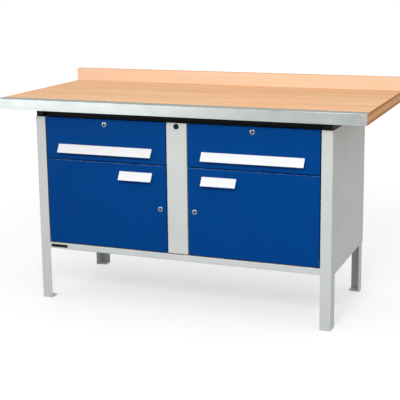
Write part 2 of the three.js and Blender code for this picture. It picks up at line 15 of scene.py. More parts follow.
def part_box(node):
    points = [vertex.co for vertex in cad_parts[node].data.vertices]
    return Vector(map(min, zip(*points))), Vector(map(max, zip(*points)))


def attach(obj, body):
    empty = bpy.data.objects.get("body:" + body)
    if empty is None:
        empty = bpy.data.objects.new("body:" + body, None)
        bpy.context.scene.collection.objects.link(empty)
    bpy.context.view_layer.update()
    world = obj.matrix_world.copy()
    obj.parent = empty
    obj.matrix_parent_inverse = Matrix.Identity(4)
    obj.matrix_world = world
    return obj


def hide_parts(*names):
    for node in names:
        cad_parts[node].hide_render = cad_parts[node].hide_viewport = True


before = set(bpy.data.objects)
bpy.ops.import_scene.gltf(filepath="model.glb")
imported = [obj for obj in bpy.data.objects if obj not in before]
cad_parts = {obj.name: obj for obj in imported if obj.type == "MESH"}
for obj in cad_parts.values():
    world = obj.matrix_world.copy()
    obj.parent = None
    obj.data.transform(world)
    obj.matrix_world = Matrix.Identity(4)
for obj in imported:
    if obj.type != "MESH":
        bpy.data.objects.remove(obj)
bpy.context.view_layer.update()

bl_info = {
    "name": "Workbench looks",
    "version": (1, 0, 0),
    "blender": (4, 5, 0),
    "location": "View3D > Sidebar > Workbench",
    "description": "Models and finishes the pieces of a workbench over its packed solids",
    "category": "Object",
}

# Corners within the first distance lie on one plane, and within the second they are merged.
NEAR = 1e-5
MERGE = 1e-6

# Faces that meet at more than these angles make a fold, a cut edge to round, and a sharp edge.
FOLD_ANGLE = 0.3
CUT_ANGLE = math.radians(50)
SHARP_ANGLE = math.radians(40)

# How straight an edge runs along an axis, and a face that looks along one, aside, or leans towards it.
STRAIGHT = 0.99
SQUARE = 0.9
ASIDE = 0.6
LEAN = 0.1

# Faces narrower than this are marked as edges.
NARROW = 0.0009

# How far a cutting tool stands clear of the piece, and how deep it goes for a lock.
TOOL_REACH = 0.01
LOCK_HOLE_DEPTH = 0.005

# Steps round a cut edge, a fold, a corner, a cam's end, a screw and other turned pieces.
CUT_STEPS = 2
FOLD_STEPS = 4
CORNER_STEPS = 6
CAM_STEPS = 8
SCREW_STEPS = 24
TURN_STEPS = 48

# Screws in a row, slots in a row, and slots under the one that holds a clip.
SCREW_COUNT = 4
SLOT_COUNT = 10
SLOTS_BELOW = 4

# Clips from the front and rear of a shelf, as a share of its depth.
CLIP_INSET = 0.12

# Profiles from the axis outwards, as shares of a radius and of a thickness.
SCREW_PROFILE = (
    (0, 0.30), (0.40, 0.30), (0.46, 0.52), (0.70, 0.42), (0.92, 0.22), (1, 0.06), (1, -0.05), (0, -0.05),
)
PLUG_PROFILE = ((0, 1 / 3), (0.55, 1 / 3), (0.65, 0), (0.88, 0), (1, 7 / 15), (1, 1))
LOCK_PROFILE = ((0, 0.40), (0.42, 0.40), (0.50, 0), (0.70, 0), (0.90, 0.24), (1, 0.64), (1, 1))

# The dark core of a lock as a share of its face's radius, and how deep it goes.
CORE_SHARE = 0.43
CORE_DEPTH = 0.006

# A divider's tab, painted black as painted shade in the gap between drawer and door, begins this far out of
# the sheet.
TAB_START = 0.001

# Most of a noise lies between these values.
MOST = (0.3, 0.7)

# Tints that are mixed into the finishes, and the depths of their relief.
# The first tint lightens paint along marked edges, partly as rubbing and partly as a painted highlight.
RUB_AND_HIGHLIGHT_TINT = (0.35, 0.50, 0.55, 1)
# This tint is a painted highlight on metal edges.
EDGE_HIGHLIGHT = (0.5, 0.5, 0.5, 1)
FLECK_TINT = (0.45, 0.30, 0.22, 1)
GLUE_TINT = (0.35, 0.22, 0.14, 1)
# This tint darkens metal faces that look up: painted shade.
TOP_SHADE_TINT = (0.66, 0.67, 0.60, 1)
PEEL_DEPTH = 0.00002
GRAIN_DEPTH = 0.00008

# Plies across the worktop and the upstand.
WORKTOP_PLIES = 11
UPSTAND_PLIES = 7

# The floor's side, its gap to the feet, and the distances between which its glow changes.
FLOOR_SIDE = 60
FLOOR_GAP = 0.0005
GLOW_SPAN = (1.5, 4.0)
WHITE = (1, 1, 1, 1)

# What the lamps look at, the camera's sensor in millimetres, and how far the camera sees.
LAMP_AIM = Vector((0, 0, 0.5))
SENSOR_WIDTH = 36
CAMERA_RANGE = 100

# The ways that turned pieces point.
BACK = Vector((0, 1, 0))
UP = Vector((0, 0, 1))

# How a flat sheet is turned to look outward, and the spans that its width and height then take.
OUTWARD = {
    "-y": ((math.pi / 2, 0, 0), "xz"),
    "+y": ((-math.pi / 2, 0, 0), "xz"),
    "+z": ((0, 0, 0), "xy"),
    "+x": ((0, math.pi / 2, 0), "zy"),
    "-x": ((0, -math.pi / 2, 0), "zy"),
}


def length(name, description, default):
    """A size in metres that a user may change."""
    return FloatProperty(
        name=name, description=description, default=default, min=0, unit="LENGTH", precision=5
    )


def colour(name, description, default):
    """A linear colour that a user may change."""
    return FloatVectorProperty(
        name=name, description=description, default=default, min=0, max=1, subtype="COLOR"
    )


def spot(name, description, default):
    """A place in metres that a user may change."""
    return FloatVectorProperty(
        name=name, description=description, default=default, subtype="TRANSLATION", unit="LENGTH"
    )


def extent(name, description, default):
    """A width and height in metres that a user may change."""
    return FloatVectorProperty(
        name=name, description=description, default=default, size=2, min=0.01, unit="LENGTH"
    )


def angle(name, description, degrees):
    """An angle that a user may change."""
    return FloatProperty(
        name=name, description=description, default=math.radians(degrees), subtype="ANGLE"
    )


def strength(name, description, default, unit="NONE"):
    """A strength or power of light that a user may change."""
    return FloatProperty(name=name, description=description, default=default, min=0, unit=unit)


class BenchSizes(bpy.types.PropertyGroup):
    """Sheet thicknesses, folds and small details that the solids' boxes don't give"""

    touch: length("Touch", "Gap between pieces that meet", 0.0003)
    panel_sheet: length("Panel sheet", "Sheet of panels, fronts, shelves and drawer boxes", 0.0015)
    rail_sheet: length("Rail sheet", "Sheet of rails, handles and the worktop's steel edge", 0.002)
    leg_sheet: length("Leg sheet", "Sheet of the legs", 0.003)
    fold_radius: length("Fold radius", "Outer radius of a fold in thin sheet", 0.0025)
    leg_fold_radius: length("Leg fold radius", "Outer radius of the fold along a leg", 0.005)
    cut_edge: length("Cut edge", "Rounding of cut sheet edges", 0.0003)
    board_edge: length("Board edge", "Rounding of the wooden boards", 0.0012)
    cap_depth: length("Cap depth", "Depth of the caps in the ends of the side tubes", 0.006)
    leg_corner: length("Leg corner", "Rounding of a leg's side flange at the floor", 0.007)
    foot_depth: length("Foot depth", "Leg's face to the inner edge of its foot plate", 0.040)
    leg_plate: length("Leg plate", "Thickness of the plates at a leg's head and foot", 0.005)
    panel_lip: length("Panel lip", "Depth of the lips at a side panel's head and foot", 0.015)
    front_lip: length("Front lip", "Width of the lip behind a drawer front or door", 0.008)
    handle_flange: length("Handle flange", "Height of a handle's flange on its front", 0.022)
    handle_taper: length("Handle taper", "How far a handle's flange draws in towards its foot", 0.012)
    panel_corner: length("Panel corner", "Rounding of the rear panel's corners", 0.008)
    screw_head: length("Screw head", "Radius of the screw heads on the rear legs", 0.0045)
    screw_inset: length("Screw inset", "Screws from the inner edge of a rear leg", 0.011)
    screw_margin: length("Screw margin", "Outer screws from the head and foot of the rear panel", 0.035)
    drawer_rim: length("Drawer rim", "Width of the rim folded in along a drawer box", 0.006)
    slot_width: length("Slot width", "Width of the slots for the shelf clips", 0.004)
    slot_height: length("Slot height", "Height of the slots for the shelf clips", 0.014)
    slot_pitch: length("Slot pitch", "Slots for the shelf clips, one above the next", 0.030)
    clip_width: length("Clip width", "Width of a shelf clip", 0.014)
    clip_reach: length("Clip reach", "Tongue of a clip under its shelf", 0.012)
    slot_spare: length("Slot spare", "Room around a cam in its latch slot", 0.002)
    latch_reach: length("Latch reach", "Half height of a latch slot in the column", 0.028)
    hole_spare: length("Hole spare", "Room around a barrel, plug or pin in its hole", 0.0003)
    pin_radius: length("Pin radius", "Radius of the hinge pins", 0.003)
    tab_margin: length("Tab margin", "Width of a divider's tab on each side of the hinge pin", 0.006)
    tab_corner: length("Tab corner", "Rounding of a divider's tab", 0.0085)
    barrel_radius: length("Barrel radius", "Radius of a lock barrel behind its face", 0.009)
    barrel_chamfer: length("Barrel chamfer", "Chamfer at the inner end of a lock barrel", 0.0008)
    lock_face: length("Lock face", "Thickness of a lock's face", 0.0025)
    keyhole_width: length("Keyhole width", "Half width of a lock's keyhole", 0.0011)
    keyhole_depth: length("Keyhole depth", "Depth of a lock's keyhole", 0.004)
    keyhole_height: length("Keyhole height", "Half height of a lock's keyhole", 0.0042)
    cam_corner: length("Cam corner", "Rounding of a cam's ends", 0.0078)
    plug_face: length("Plug face", "Thickness of the column plug's face", 0.0015)
    plug_step: length("Plug step", "How far the plug's face stands past its body all round", 0.002)
    plug_chamfer: length("Plug chamfer", "Chamfer at the inner end of the plug", 0.001)
    plate_length: length("Name plate length", "Length of the bare name plate", 0.074)
    plate_height: length("Name plate height", "Height of the bare name plate", 0.012)
    plate_thickness: length("Name plate thickness", "Thickness of the bare name plate", 0.0006)
    plate_inset: length("Name plate inset", "Name plate from the end of the bottom rail", 0.007)


class BenchColours(bpy.types.PropertyGroup):
    """Colours of the finishes"""

    grey: colour("Grey paint", "Powder coat of the frame and cupboards", (0.600, 0.625, 0.608))
    blue: colour("Blue paint", "Powder coat of the drawer fronts and doors", (0.0, 0.0515, 0.236))
    handle: colour("Handle paint", "Powder coat of the strip handles", (0.820, 0.830, 0.840))
    black: colour("Black paint", "Paint of the top frame", (0.007, 0.007, 0.008))
    plastic: colour("Black plastic", "Plug, name plate and keyholes", (0.007, 0.007, 0.008))
    beech_pale: colour("Pale grain", "Light figure of the worktop", (0.895, 0.555, 0.320))
    beech_warm: colour("Warm grain", "Dark figure of the worktop", (0.690, 0.372, 0.185))
    # The upstand's grain is paler than the worktop's: painted light, for the stronger light on its front
    # face.
    upstand_pale: colour("Pale upstand grain", "Light figure of the upstand", (0.960, 0.725, 0.530))
    upstand_warm: colour("Warm upstand grain", "Dark figure of the upstand", (0.900, 0.615, 0.415))
    ply_pale: colour("Pale ply", "Light layers in the boards' edges", (0.960, 0.630, 0.340))
    ply_warm: colour("Warm ply", "Dark layers in the boards' edges", (0.640, 0.238, 0.068))
    edge_steel: colour("Edge steel", "Steel angle along the worktop", (0.350, 0.377, 0.368))
    zinc: colour("Zinc", "Slides, pins and cams", (0.560, 0.580, 0.590))
    # The chrome is darkened and tinted blue: a painted reflection of dark surroundings and the blue fronts
    # around the locks.
    chrome: colour("Chrome", "Lock faces and barrels", (0.165, 0.188, 0.228))
    floor: colour("Floor", "Studio floor", (0.42, 0.42, 0.42))


class BenchStage(bpy.types.PropertyGroup):
    """Camera, lamps and sky"""

    camera_place: spot("Camera place", "Where the camera stands", (1.477, -3.801, 1.356))
    camera_heading: angle("Heading", "Turn of the camera from straight ahead to the left", 21.46)
    camera_tilt: angle("Tilt", "How far the camera looks down", 11.41)
    camera_roll: angle("Roll", "Turn of the camera about its own axis", -0.66)
    camera_lens: FloatProperty(
        name="Lens", description="Focal length on a 36 mm sensor", default=90.5, unit="CAMERA",
    )
    camera_shift: FloatProperty(
        name="Shift", description="Vertical shift of the lens", default=-0.08, subtype="FACTOR",
    )
    sky_low: strength("Low sky", "Strength of the even light along the horizon", 0.42)
    sky_high: strength("High sky", "Strength of the even light overhead", 1.10)
    floor_glow: strength("Floor glow", "White that the camera sees on the floor near the bench", 0.58)
    far_glow: strength("Far glow", "White that the camera sees on the floor further off", 0.75)
    key_place: spot("Key place", "Where the key lamp stands", (0.55, -2.4, 1.9))
    key_size: extent("Key size", "Width and height of the key lamp", (0.6, 0.6))
    key_power: strength("Key power", "Power of the key lamp", 37, "POWER")
    side_place: spot("Side place", "Where the low lamp at the left stands", (-2.7, -4.5, 0.6))
    side_size: extent("Side size", "Width and height of the low lamp at the left", (2.4, 0.6))
    side_power: strength("Side power", "Power of the low lamp at the left", 33, "POWER")


def deselect_all():
    """Leaves edit mode with nothing selected."""
    if bpy.context.mode != "OBJECT":
        bpy.ops.object.mode_set(mode="OBJECT")
    bpy.ops.object.select_all(action="DESELECT")


def activate(piece):
    """Makes a piece the only selected one."""
    deselect_all()
    piece.select_set(True)
    bpy.context.view_layer.objects.active = piece


@contextmanager
def editing(piece):
    """Opens a piece in edit mode with nothing selected, and closes it again."""
    activate(piece)
    bpy.ops.object.mode_set(mode="EDIT")
    bpy.ops.mesh.select_all(action="DESELECT")
    yield
    bpy.ops.object.mode_set(mode="OBJECT")


def centre_of(node):
    """The middle of a solid's box."""
    return sum(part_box(node), Vector()) / 2


def put(point, **places):
    """A copy of a point, put elsewhere along the named axes."""
    copy = point.copy()
    for axis, place in places.items():
        setattr(copy, axis, place)
    return copy


def middle(item):
    """The middle of a face's or edge's corners."""
    return sum((corner.co for corner in item.verts), Vector()) / len(item.verts)


def lies(**places):
    """A test for items whose corners all lie at these coordinates."""
    def test(item):
        return all(
            abs(getattr(corner.co, axis) - place) < NEAR
            for corner in item.verts
            for axis, place in places.items()
        )
    return test


def under(**places):
    """A test for items whose middle is short of these coordinates."""
    return lambda item: all(getattr(middle(item), axis) < place for axis, place in places.items())


def over(**places):
    """A test for items whose middle is past these coordinates."""
    return lambda item: all(getattr(middle(item), axis) > place for axis, place in places.items())


def is_fold(edge):
    """True for an edge where two faces meet at an angle."""
    return len(edge.link_faces) == 2 and edge.calc_face_angle() > FOLD_ANGLE


def is_rim(edge):
    """True for an edge at the open border of a sheet."""
    return len(edge.link_faces) == 1


def runs(axis):
    """A test for edges that run along an axis."""
    def test(edge):
        along = edge.verts[0].co - edge.verts[1].co
        return abs(getattr(along, axis)) > STRAIGHT * along.length
    return test


def looks_along(axis):
    """A test for faces that look along an axis, either way."""
    return lambda face: abs(getattr(face.normal, axis)) > SQUARE


def looks_aside(axis):
    """A test for faces that look away from an axis."""
    return lambda face: abs(getattr(face.normal, axis)) < ASIDE


def pick(kind, *tests):
    """Selects the edges or faces of the edited piece that pass every test."""
    bpy.ops.mesh.select_mode(type=kind)
    bpy.ops.mesh.select_all(action="DESELECT")
    mesh = bmesh.from_edit_mesh(bpy.context.edit_object.data)
    items = mesh.faces if kind == "FACE" else mesh.edges
    found = [item for item in items if all(test(item) for test in tests)]
    if not found:
        raise RuntimeError(f"{bpy.context.edit_object.name}: nothing to select")
    for item in found:
        item.select_set(True)
    mesh.select_flush_mode()
    bmesh.update_edit_mesh(bpy.context.edit_object.data)


def draw_edges(reach):
    """Extrudes the selected edges."""
    bpy.ops.mesh.extrude_edges_move(TRANSFORM_OT_translate={"value": reach})


def draw_inwards(low, high, axes, reach):
    """Extrudes the selected rim of a box towards its middle along two axes."""
    span = high - low
    narrow = [1 - 2 * reach / getattr(span, axis) if axis in axes else 1 for axis in "xyz"]
    draw_edges((0, 0, 0))
    bpy.ops.transform.resize(value=narrow, center_override=(low + high) / 2)


def draw_faces(reach):
    """Extrudes the selected faces."""
    bpy.ops.mesh.extrude_region_move(TRANSFORM_OT_translate={"value": reach})


def bisect_at(**place):
    """Cuts the whole edited mesh along a plane across one axis."""
    (axis, where), = place.items()
    across = Vector([float(axis == name) for name in "xyz"])
    bpy.ops.mesh.select_all(action="SELECT")
    bpy.ops.mesh.bisect(plane_co=across * where, plane_no=across)


def round_edges(radius, segments=FOLD_STEPS):
    """Rounds the selected edges."""
    bpy.ops.mesh.bevel(offset=radius, offset_type="OFFSET", segments=segments, affect="EDGES")


def modify(piece, kind, **settings):
    """Adds a modifier with these settings and applies it."""
    activate(piece)
    modifier = piece.modifiers.new(kind.title(), kind)
    for setting, value in settings.items():
        setattr(modifier, setting, value)
    bpy.ops.object.modifier_apply(modifier=modifier.name)


def thicken(piece, sheet):
    """Gives an open shell its wall, inwards from its outer face."""
    modify(piece, "SOLIDIFY", thickness=sheet, offset=-1, use_even_offset=True)


def carve(piece, tool, operation="DIFFERENCE"):
    """Cuts a tool out of a piece, or joins it on, and removes the tool."""
    modify(piece, "BOOLEAN", object=tool, operation=operation, solver="EXACT")
    mesh = tool.data
    bpy.data.objects.remove(tool)
    bpy.data.meshes.remove(mesh)


def repeat(piece, count, step):
    """Copies a piece along a line, all in one mesh."""
    modify(
        piece, "ARRAY", count=count, use_relative_offset=False, use_constant_offset=True,
        constant_offset_displace=step,
    )


def settle(name, scale):
    """Names the new primitive and puts its size and place into its mesh."""
    piece = bpy.context.object
    piece.name = name
    piece.scale = scale
    bpy.ops.object.transform_apply(location=True, rotation=True, scale=True)
    return piece


def add_block(name, low, high):
    """A block between two corners, ready to be shaped."""
    deselect_all()
    bpy.ops.mesh.primitive_cube_add(size=1, location=(low + high) / 2)
    return settle(name, high - low)


def add_sheet(name, low, high, outward):
    """A flat rectangle between two corners, whose face looks outward."""
    turn, spans = OUTWARD[outward]
    reach = high - low
    deselect_all()
    bpy.ops.mesh.primitive_plane_add(size=1, location=(low + high) / 2, rotation=turn)
    return settle(name, (getattr(reach, spans[0]), getattr(reach, spans[1]), 1))


def add_rod(name, start, end, radius):
    """A round bar between two points along one axis."""
    deselect_all()
    turn = (end - start).to_track_quat("Z", "Y").to_euler()
    bpy.ops.mesh.primitive_cylinder_add(
        vertices=TURN_STEPS, radius=radius, depth=(end - start).length,
        location=(start + end) / 2, rotation=turn,
    )
    return settle(name, (1, 1, 1))


def scaled(profile, radius, thickness):
    """A profile of shares at its real size."""
    return [(radius * out, thickness * along) for out, along in profile]


def blunt_end(radius, end, chamfer):
    """The last corners of a profile: a chamfered end, closed at the axis."""
    return [(radius, end - chamfer), (radius - chamfer, end), (0, end)]


def turn_profile(name, start, along, profile, steps=TURN_STEPS):
    """A turned piece: a profile of (radius, distance along the axis), drawn and spun about it."""
    aside = along.orthogonal().normalized()
    corners = [start + aside * radius + along * distance for radius, distance in profile]
    deselect_all()
    bpy.ops.mesh.primitive_plane_add(size=0.001, location=corners[0])
    piece = settle(name, (1, 1, 1))
    with editing(piece):
        bpy.ops.mesh.select_mode(type="VERT")
        bpy.ops.mesh.select_all(action="SELECT")
        bpy.ops.mesh.merge(type="CENTER")
        for last, corner in zip(corners, corners[1:]):
            bpy.ops.mesh.extrude_vertices_move(TRANSFORM_OT_translate={"value": corner - last})
        bpy.ops.mesh.select_all(action="SELECT")
        bpy.ops.mesh.spin(steps=steps, angle=math.tau, center=start, axis=along)
        bpy.ops.mesh.select_all(action="SELECT")
        bpy.ops.mesh.remove_doubles(threshold=MERGE)
        bpy.ops.mesh.normals_make_consistent(inside=False)
    return piece


def fold_sheet(name, low, high, outward, folds, sheet, radius):
    """A bent sheet: a flat web whose edges are drawn out one by one, rounded and given a wall."""
    piece = add_sheet(name, low, high, outward)
    with editing(piece):
        for edge, reach in folds:
            pick("EDGE", lies(**edge))
            draw_edges(reach)
        pick("EDGE", is_fold)
        round_edges(radius)
    thicken(piece, sheet)
    return piece


def fold_front(name, low, high, edges, sheet, radius):
    """A web across the front of a box, folded back along some of its edges."""
    back = (0, high.y - low.y, 0)
    folds = [(edge, back) for edge in edges]
    return fold_sheet(name, low, put(high, y=low.y), "-y", folds, sheet, radius)


def fold_tray(name, low, high):
    """A sheet across the top of a box, folded down along its front and rear."""
    sizes = bpy.context.scene.bench_sizes
    drop = (0, 0, low.z - high.z)
    folds = [({"y": low.y}, drop), ({"y": high.y}, drop)]
    return fold_sheet(name, put(low, z=high.z), high, "+z", folds, sizes.panel_sheet, sizes.fold_radius)


def copy_piece(piece, name, source, target, flip=(1, 1, 1)):
    """A copy with its own mesh, flipped about the source solid's middle and moved to the target's."""
    here = centre_of(source)
    there = centre_of(target)
    activate(piece)
    bpy.ops.object.duplicate()
    copy = bpy.context.object
    copy.name = name
    with editing(copy):
        bpy.ops.mesh.select_all(action="SELECT")
        bpy.ops.transform.resize(value=flip, center_override=here)
        bpy.ops.transform.translate(value=there - here)
        bpy.ops.mesh.normals_make_consistent(inside=False)
    return copy


def mark_faces(piece, name, test):
    """Marks the faces of a finished piece that pass a test, for its finish to read."""
    marks = piece.data.attributes.get(name) or piece.data.attributes.new(name, "FLOAT", "CORNER")
    for face in piece.data.polygons:
        if test(face):
            for loop in face.loop_indices:
                marks.data[loop].value = 1


def is_upper_fold(face):
    """True for the faces of the fold between a front and its top, where the doors get a painted highlight.
    """
    return face.normal.y < -LEAN and face.normal.z > LEAN


def mark_edges(piece):
    """Marks the narrow faces along folds and cut edges, where paint is lightened, partly as rubbing and
    partly as a painted highlight, and metal gets a painted highlight.
    """
    corners = piece.data.vertices

    def is_narrow(face):
        ring = [corners[index].co for index in face.vertices]
        longest = max((a - b).length for a, b in zip(ring, ring[1:] + ring[:1]))
        return face.area < NARROW * longest

    mark_faces(piece, "edge", is_narrow)


def paint_part(piece, finish, test):
    """Gives the faces whose middle passes a test another of the piece's finishes."""
    for face in piece.data.polygons:
        if test(face.center):
            face.material_index = finish


def dress(piece, finishes, body, *nodes, rounding=None):
    """Rounds the cut edges, paints the piece and sets it on its body in place of its solids."""
    if not piece.data.polygons:
        raise RuntimeError(f"{piece.name} has no faces")
    finishes = (finishes,) if isinstance(finishes, str) else finishes
    if rounding is None:
        rounding = bpy.context.scene.bench_sizes.cut_edge
    if rounding:
        modify(
            piece, "BEVEL", width=rounding, segments=CUT_STEPS, limit_method="ANGLE", angle_limit=CUT_ANGLE
        )
    with editing(piece):
        bpy.ops.mesh.select_all(action="SELECT")
        bpy.ops.mesh.dissolve_degenerate(threshold=MERGE)
    bpy.ops.object.shade_smooth_by_angle(angle=SHARP_ANGLE)
    modify(piece, "WEIGHTED_NORMAL", keep_sharp=True)
    mark_edges(piece)
    for finish in finishes:
        piece.data.materials.append(finish_for(finish))
    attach(piece, body)
    if nodes:
        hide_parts(*nodes)


def dress_pair(piece, finishes, body, node, rounding=None, detail=False):
    """Dresses a right-hand piece and its mirrored copy for the left. A detail stands for no solid."""
    right, left = node.format("right"), node.format("left")
    copy = copy_piece(piece, piece.name.replace("right", "left"), right, left, flip=(-1, 1, 1))
    for side, each, solid in (("right", piece, right), ("left", copy, left)):
        dress(each, finishes, body.format(side), *([] if detail else [solid]), rounding=rounding)


def add_node(tree, kind, inputs=None, **settings):
    """A shader node with its settings, whose inputs are values or sockets to link."""
    node = tree.nodes.new(kind)
    node.location = (180 * (len(tree.nodes) % 12), -260 * (len(tree.nodes) // 12))
    for setting, value in settings.items():
        setattr(node, setting, value)
    for socket, value in (inputs or {}).items():
        if isinstance(value, bpy.types.NodeSocket):
            tree.links.new(value, node.inputs[socket])
        else:
            node.inputs[socket].default_value = value
    return node


def calc(tree, operation, first, second=0.0, clamp=False):
    """The result of a Math node."""
    inputs = {0: first, 1: second}
    return add_node(tree, "ShaderNodeMath", inputs, operation=operation, use_clamp=clamp).outputs[0]


def blend(tree, kind, factor, first, second):
    """The colour of a Mix node, whose colour sockets have these numbers."""
    inputs = {0: factor, 6: first, 7: second}
    return add_node(tree, "ShaderNodeMix", inputs, data_type="RGBA", blend_type=kind).outputs[2]


def spread(tree, value, low, high, to_low, to_high):
    """A value carried from one range to another, held at its ends."""
    inputs = {0: value, 1: low, 2: high, 3: to_low, 4: to_high}
    return add_node(tree, "ShaderNodeMapRange", inputs).outputs[0]


def stretched_noise(tree, vector, stretch, detail=2.0, distortion=0.0):
    """Noise whose grains are drawn out along the axes with the smaller numbers."""
    drawn = add_node(tree, "ShaderNodeVectorMath", {0: vector, 1: stretch}, operation="MULTIPLY")
    inputs = {"Vector": drawn.outputs[0], "Scale": 1.0, "Detail": detail, "Distortion": distortion}
    return add_node(tree, "ShaderNodeTexNoise", inputs).outputs[0]


def new_group(name, inputs, outputs):
    """An empty node group with named sockets, and its two end nodes."""
    tree = bpy.data.node_groups.new(name, "ShaderNodeTree")
    for direction, sockets in (("INPUT", inputs), ("OUTPUT", outputs)):
        for socket, kind in sockets.items():
            tree.interface.new_socket(socket, in_out=direction, socket_type="NodeSocket" + kind)
    return tree, add_node(tree, "NodeGroupInput").outputs, add_node(tree, "NodeGroupOutput").inputs


def powder_coat_group():
    """Paint with a slightly uneven tone, fine orange peel, and paint lightened along marked edges: partly
    rubbed, partly a painted highlight.
    """
    tree, given, result = new_group(
        "Powder coat",
        {"Vector": "Vector", "Paint": "Color", "Roughness": "Float", "Edge": "Float", "Wear": "Float"},
        {"Color": "Color", "Roughness": "Float", "Height": "Float"},
    )
    cloud = stretched_noise(tree, given["Vector"], (7, 7, 7), detail=4)
    peel = stretched_noise(tree, given["Vector"], (900, 900, 900), detail=1)
    rub = stretched_noise(tree, given["Vector"], (60, 60, 60), detail=3)
    tone = spread(tree, cloud, *MOST, 0.965, 1.03)
    toned = blend(tree, "MULTIPLY", 1.0, given["Paint"], tone)
    # Marked edges are lightened: partly rubbed paint, partly a painted highlight.
    rubbed_and_highlit = calc(tree, "MULTIPLY", given["Edge"], spread(tree, rub, 0.40, 0.62, 0.15, 1.0))
    rubbed_and_highlit = calc(tree, "MULTIPLY", rubbed_and_highlit, given["Wear"])
    rubbed_and_lightened = blend(tree, "SCREEN", rubbed_and_highlit, toned, RUB_AND_HIGHLIGHT_TINT)
    tree.links.new(rubbed_and_lightened, result["Color"])
    uneven = spread(tree, rub, *MOST, -0.05, 0.06)
    tree.links.new(calc(tree, "ADD", given["Roughness"], uneven), result["Roughness"])
    tree.links.new(peel, result["Height"])
    return tree


def beech_group():
    """Beech veneer: broad soft figure along X, growth rings, fibres and short dark flecks."""
    tree, given, result = new_group(
        "Beech figure",
        {"Vector": "Vector", "Pale": "Color", "Warm": "Color"},
        {"Color": "Color", "Roughness": "Float", "Height": "Float"},
    )
    figure = stretched_noise(tree, given["Vector"], (0.8, 11, 11), detail=4, distortion=0.5)
    streak = stretched_noise(tree, given["Vector"], (2.2, 70, 70), detail=4, distortion=0.3)
    fibre = stretched_noise(tree, given["Vector"], (16, 620, 620), detail=3)
    fleck = stretched_noise(tree, given["Vector"], (240, 1900, 1900), detail=1)
    broad = spread(tree, figure, 0.34, 0.66, 0.0, 0.45)
    warm = calc(tree, "ADD", broad, spread(tree, streak, 0.36, 0.64, 0.0, 0.40))
    warm = calc(tree, "ADD", warm, spread(tree, fibre, *MOST, 0.0, 0.25))
    grain = blend(tree, "MIX", warm, given["Pale"], given["Warm"])
    dark = spread(tree, fleck, 0.62, 0.72, 0.0, 0.35)
    flecked = blend(tree, "MULTIPLY", dark, grain, FLECK_TINT)
    tree.links.new(flecked, result["Color"])
    tree.links.new(spread(tree, fibre, *MOST, 0.62, 0.76), result["Roughness"])
    tree.links.new(calc(tree, "SUBTRACT", fibre, dark), result["Height"])
    return tree


def layers_group():
    """Glued layers of a board's edge, for a stack that runs from zero at one face to one at the other."""
    tree, given, result = new_group(
        "Board layers",
        {"Vector": "Vector", "Stack": "Float", "Plies": "Float", "Pale": "Color", "Warm": "Color"},
        {"Color": "Color", "Height": "Float"},
    )
    count = calc(tree, "MULTIPLY", given["Stack"], given["Plies"])
    across = calc(tree, "MODULO", calc(tree, "FLOOR", count), 2.0)
    glue = spread(tree, calc(tree, "PINGPONG", count, 0.5), 0.0, 0.08, 1.0, 0.0)
    off_middle = calc(tree, "ABSOLUTE", calc(tree, "SUBTRACT", given["Stack"], 0.5))
    rim = spread(tree, off_middle, 0.21, 0.32, 0.0, 0.95)
    pores = stretched_noise(tree, given["Vector"], (260, 260, 900), detail=3)
    warm = calc(tree, "ADD", calc(tree, "MULTIPLY", across, 0.45), spread(tree, pores, 0.35, 0.7, 0.0, 0.35))
    warm = calc(tree, "ADD", warm, rim, clamp=True)
    body = blend(tree, "MIX", warm, given["Pale"], given["Warm"])
    glued = blend(tree, "MULTIPLY", calc(tree, "MULTIPLY", glue, 0.6), body, GLUE_TINT)
    tree.links.new(glued, result["Color"])
    tree.links.new(calc(tree, "SUBTRACT", pores, glue), result["Height"])
    return tree


def rolled_metal_group():
    """Bare or plated metal with fine rolling streaks along X, soft blotches, a painted highlight along
    marked edges and painted shade on marked faces that look up.
    """
    tree, given, result = new_group(
        "Rolled metal",
        {"Vector": "Vector", "Metal": "Color", "Roughness": "Float", "Edge": "Float", "Dull": "Float"},
        {"Color": "Color", "Roughness": "Float", "Height": "Float"},
    )
    streak = stretched_noise(tree, given["Vector"], (6, 700, 700), detail=3)
    blotch = stretched_noise(tree, given["Vector"], (18, 18, 18), detail=4)
    lines = spread(tree, streak, *MOST, 0.94, 1.04)
    tone = calc(tree, "MULTIPLY", lines, spread(tree, blotch, *MOST, 0.95, 1.03))
    toned = blend(tree, "MULTIPLY", 1.0, given["Metal"], tone)
    # Faces marked as looking up are darkened: painted shade.
    toned = blend(tree, "MULTIPLY", given["Dull"], toned, TOP_SHADE_TINT)
    # Marked edges are lightened: a painted highlight.
    bright = blend(tree, "SCREEN", calc(tree, "MULTIPLY", given["Edge"], 0.3), toned, EDGE_HIGHLIGHT)
    tree.links.new(bright, result["Color"])
    uneven = spread(tree, streak, *MOST, -0.06, 0.06)
    uneven = calc(tree, "ADD", uneven, spread(tree, blotch, *MOST, -0.04, 0.05))
    tree.links.new(calc(tree, "ADD", given["Roughness"], uneven), result["Roughness"])
    tree.links.new(streak, result["Height"])
    return tree


GROUPS = {
    "Powder coat": powder_coat_group,
    "Beech figure": beech_group,
    "Board layers": layers_group,
    "Rolled metal": rolled_metal_group,
}


def place_group(tree, name, inputs):
    """A shared group in a material's tree, built on first use."""
    group = bpy.data.node_groups.get(name) or GROUPS[name]()
    return add_node(tree, "ShaderNodeGroup", inputs, node_tree=group).outputs


def new_finish(name, **constants):
    """A material with a shader, whose constants are set on its own sockets."""
    material = bpy.data.materials.new(name)
    material.use_nodes = True
    tree = material.node_tree
    shader = tree.nodes["Principled BSDF"]
    for socket, value in constants.items():
        shader.inputs[socket.replace("_", " ")].default_value = value
    place = add_node(tree, "ShaderNodeTexCoord").outputs["Object"]
    return material, tree, shader.inputs, place


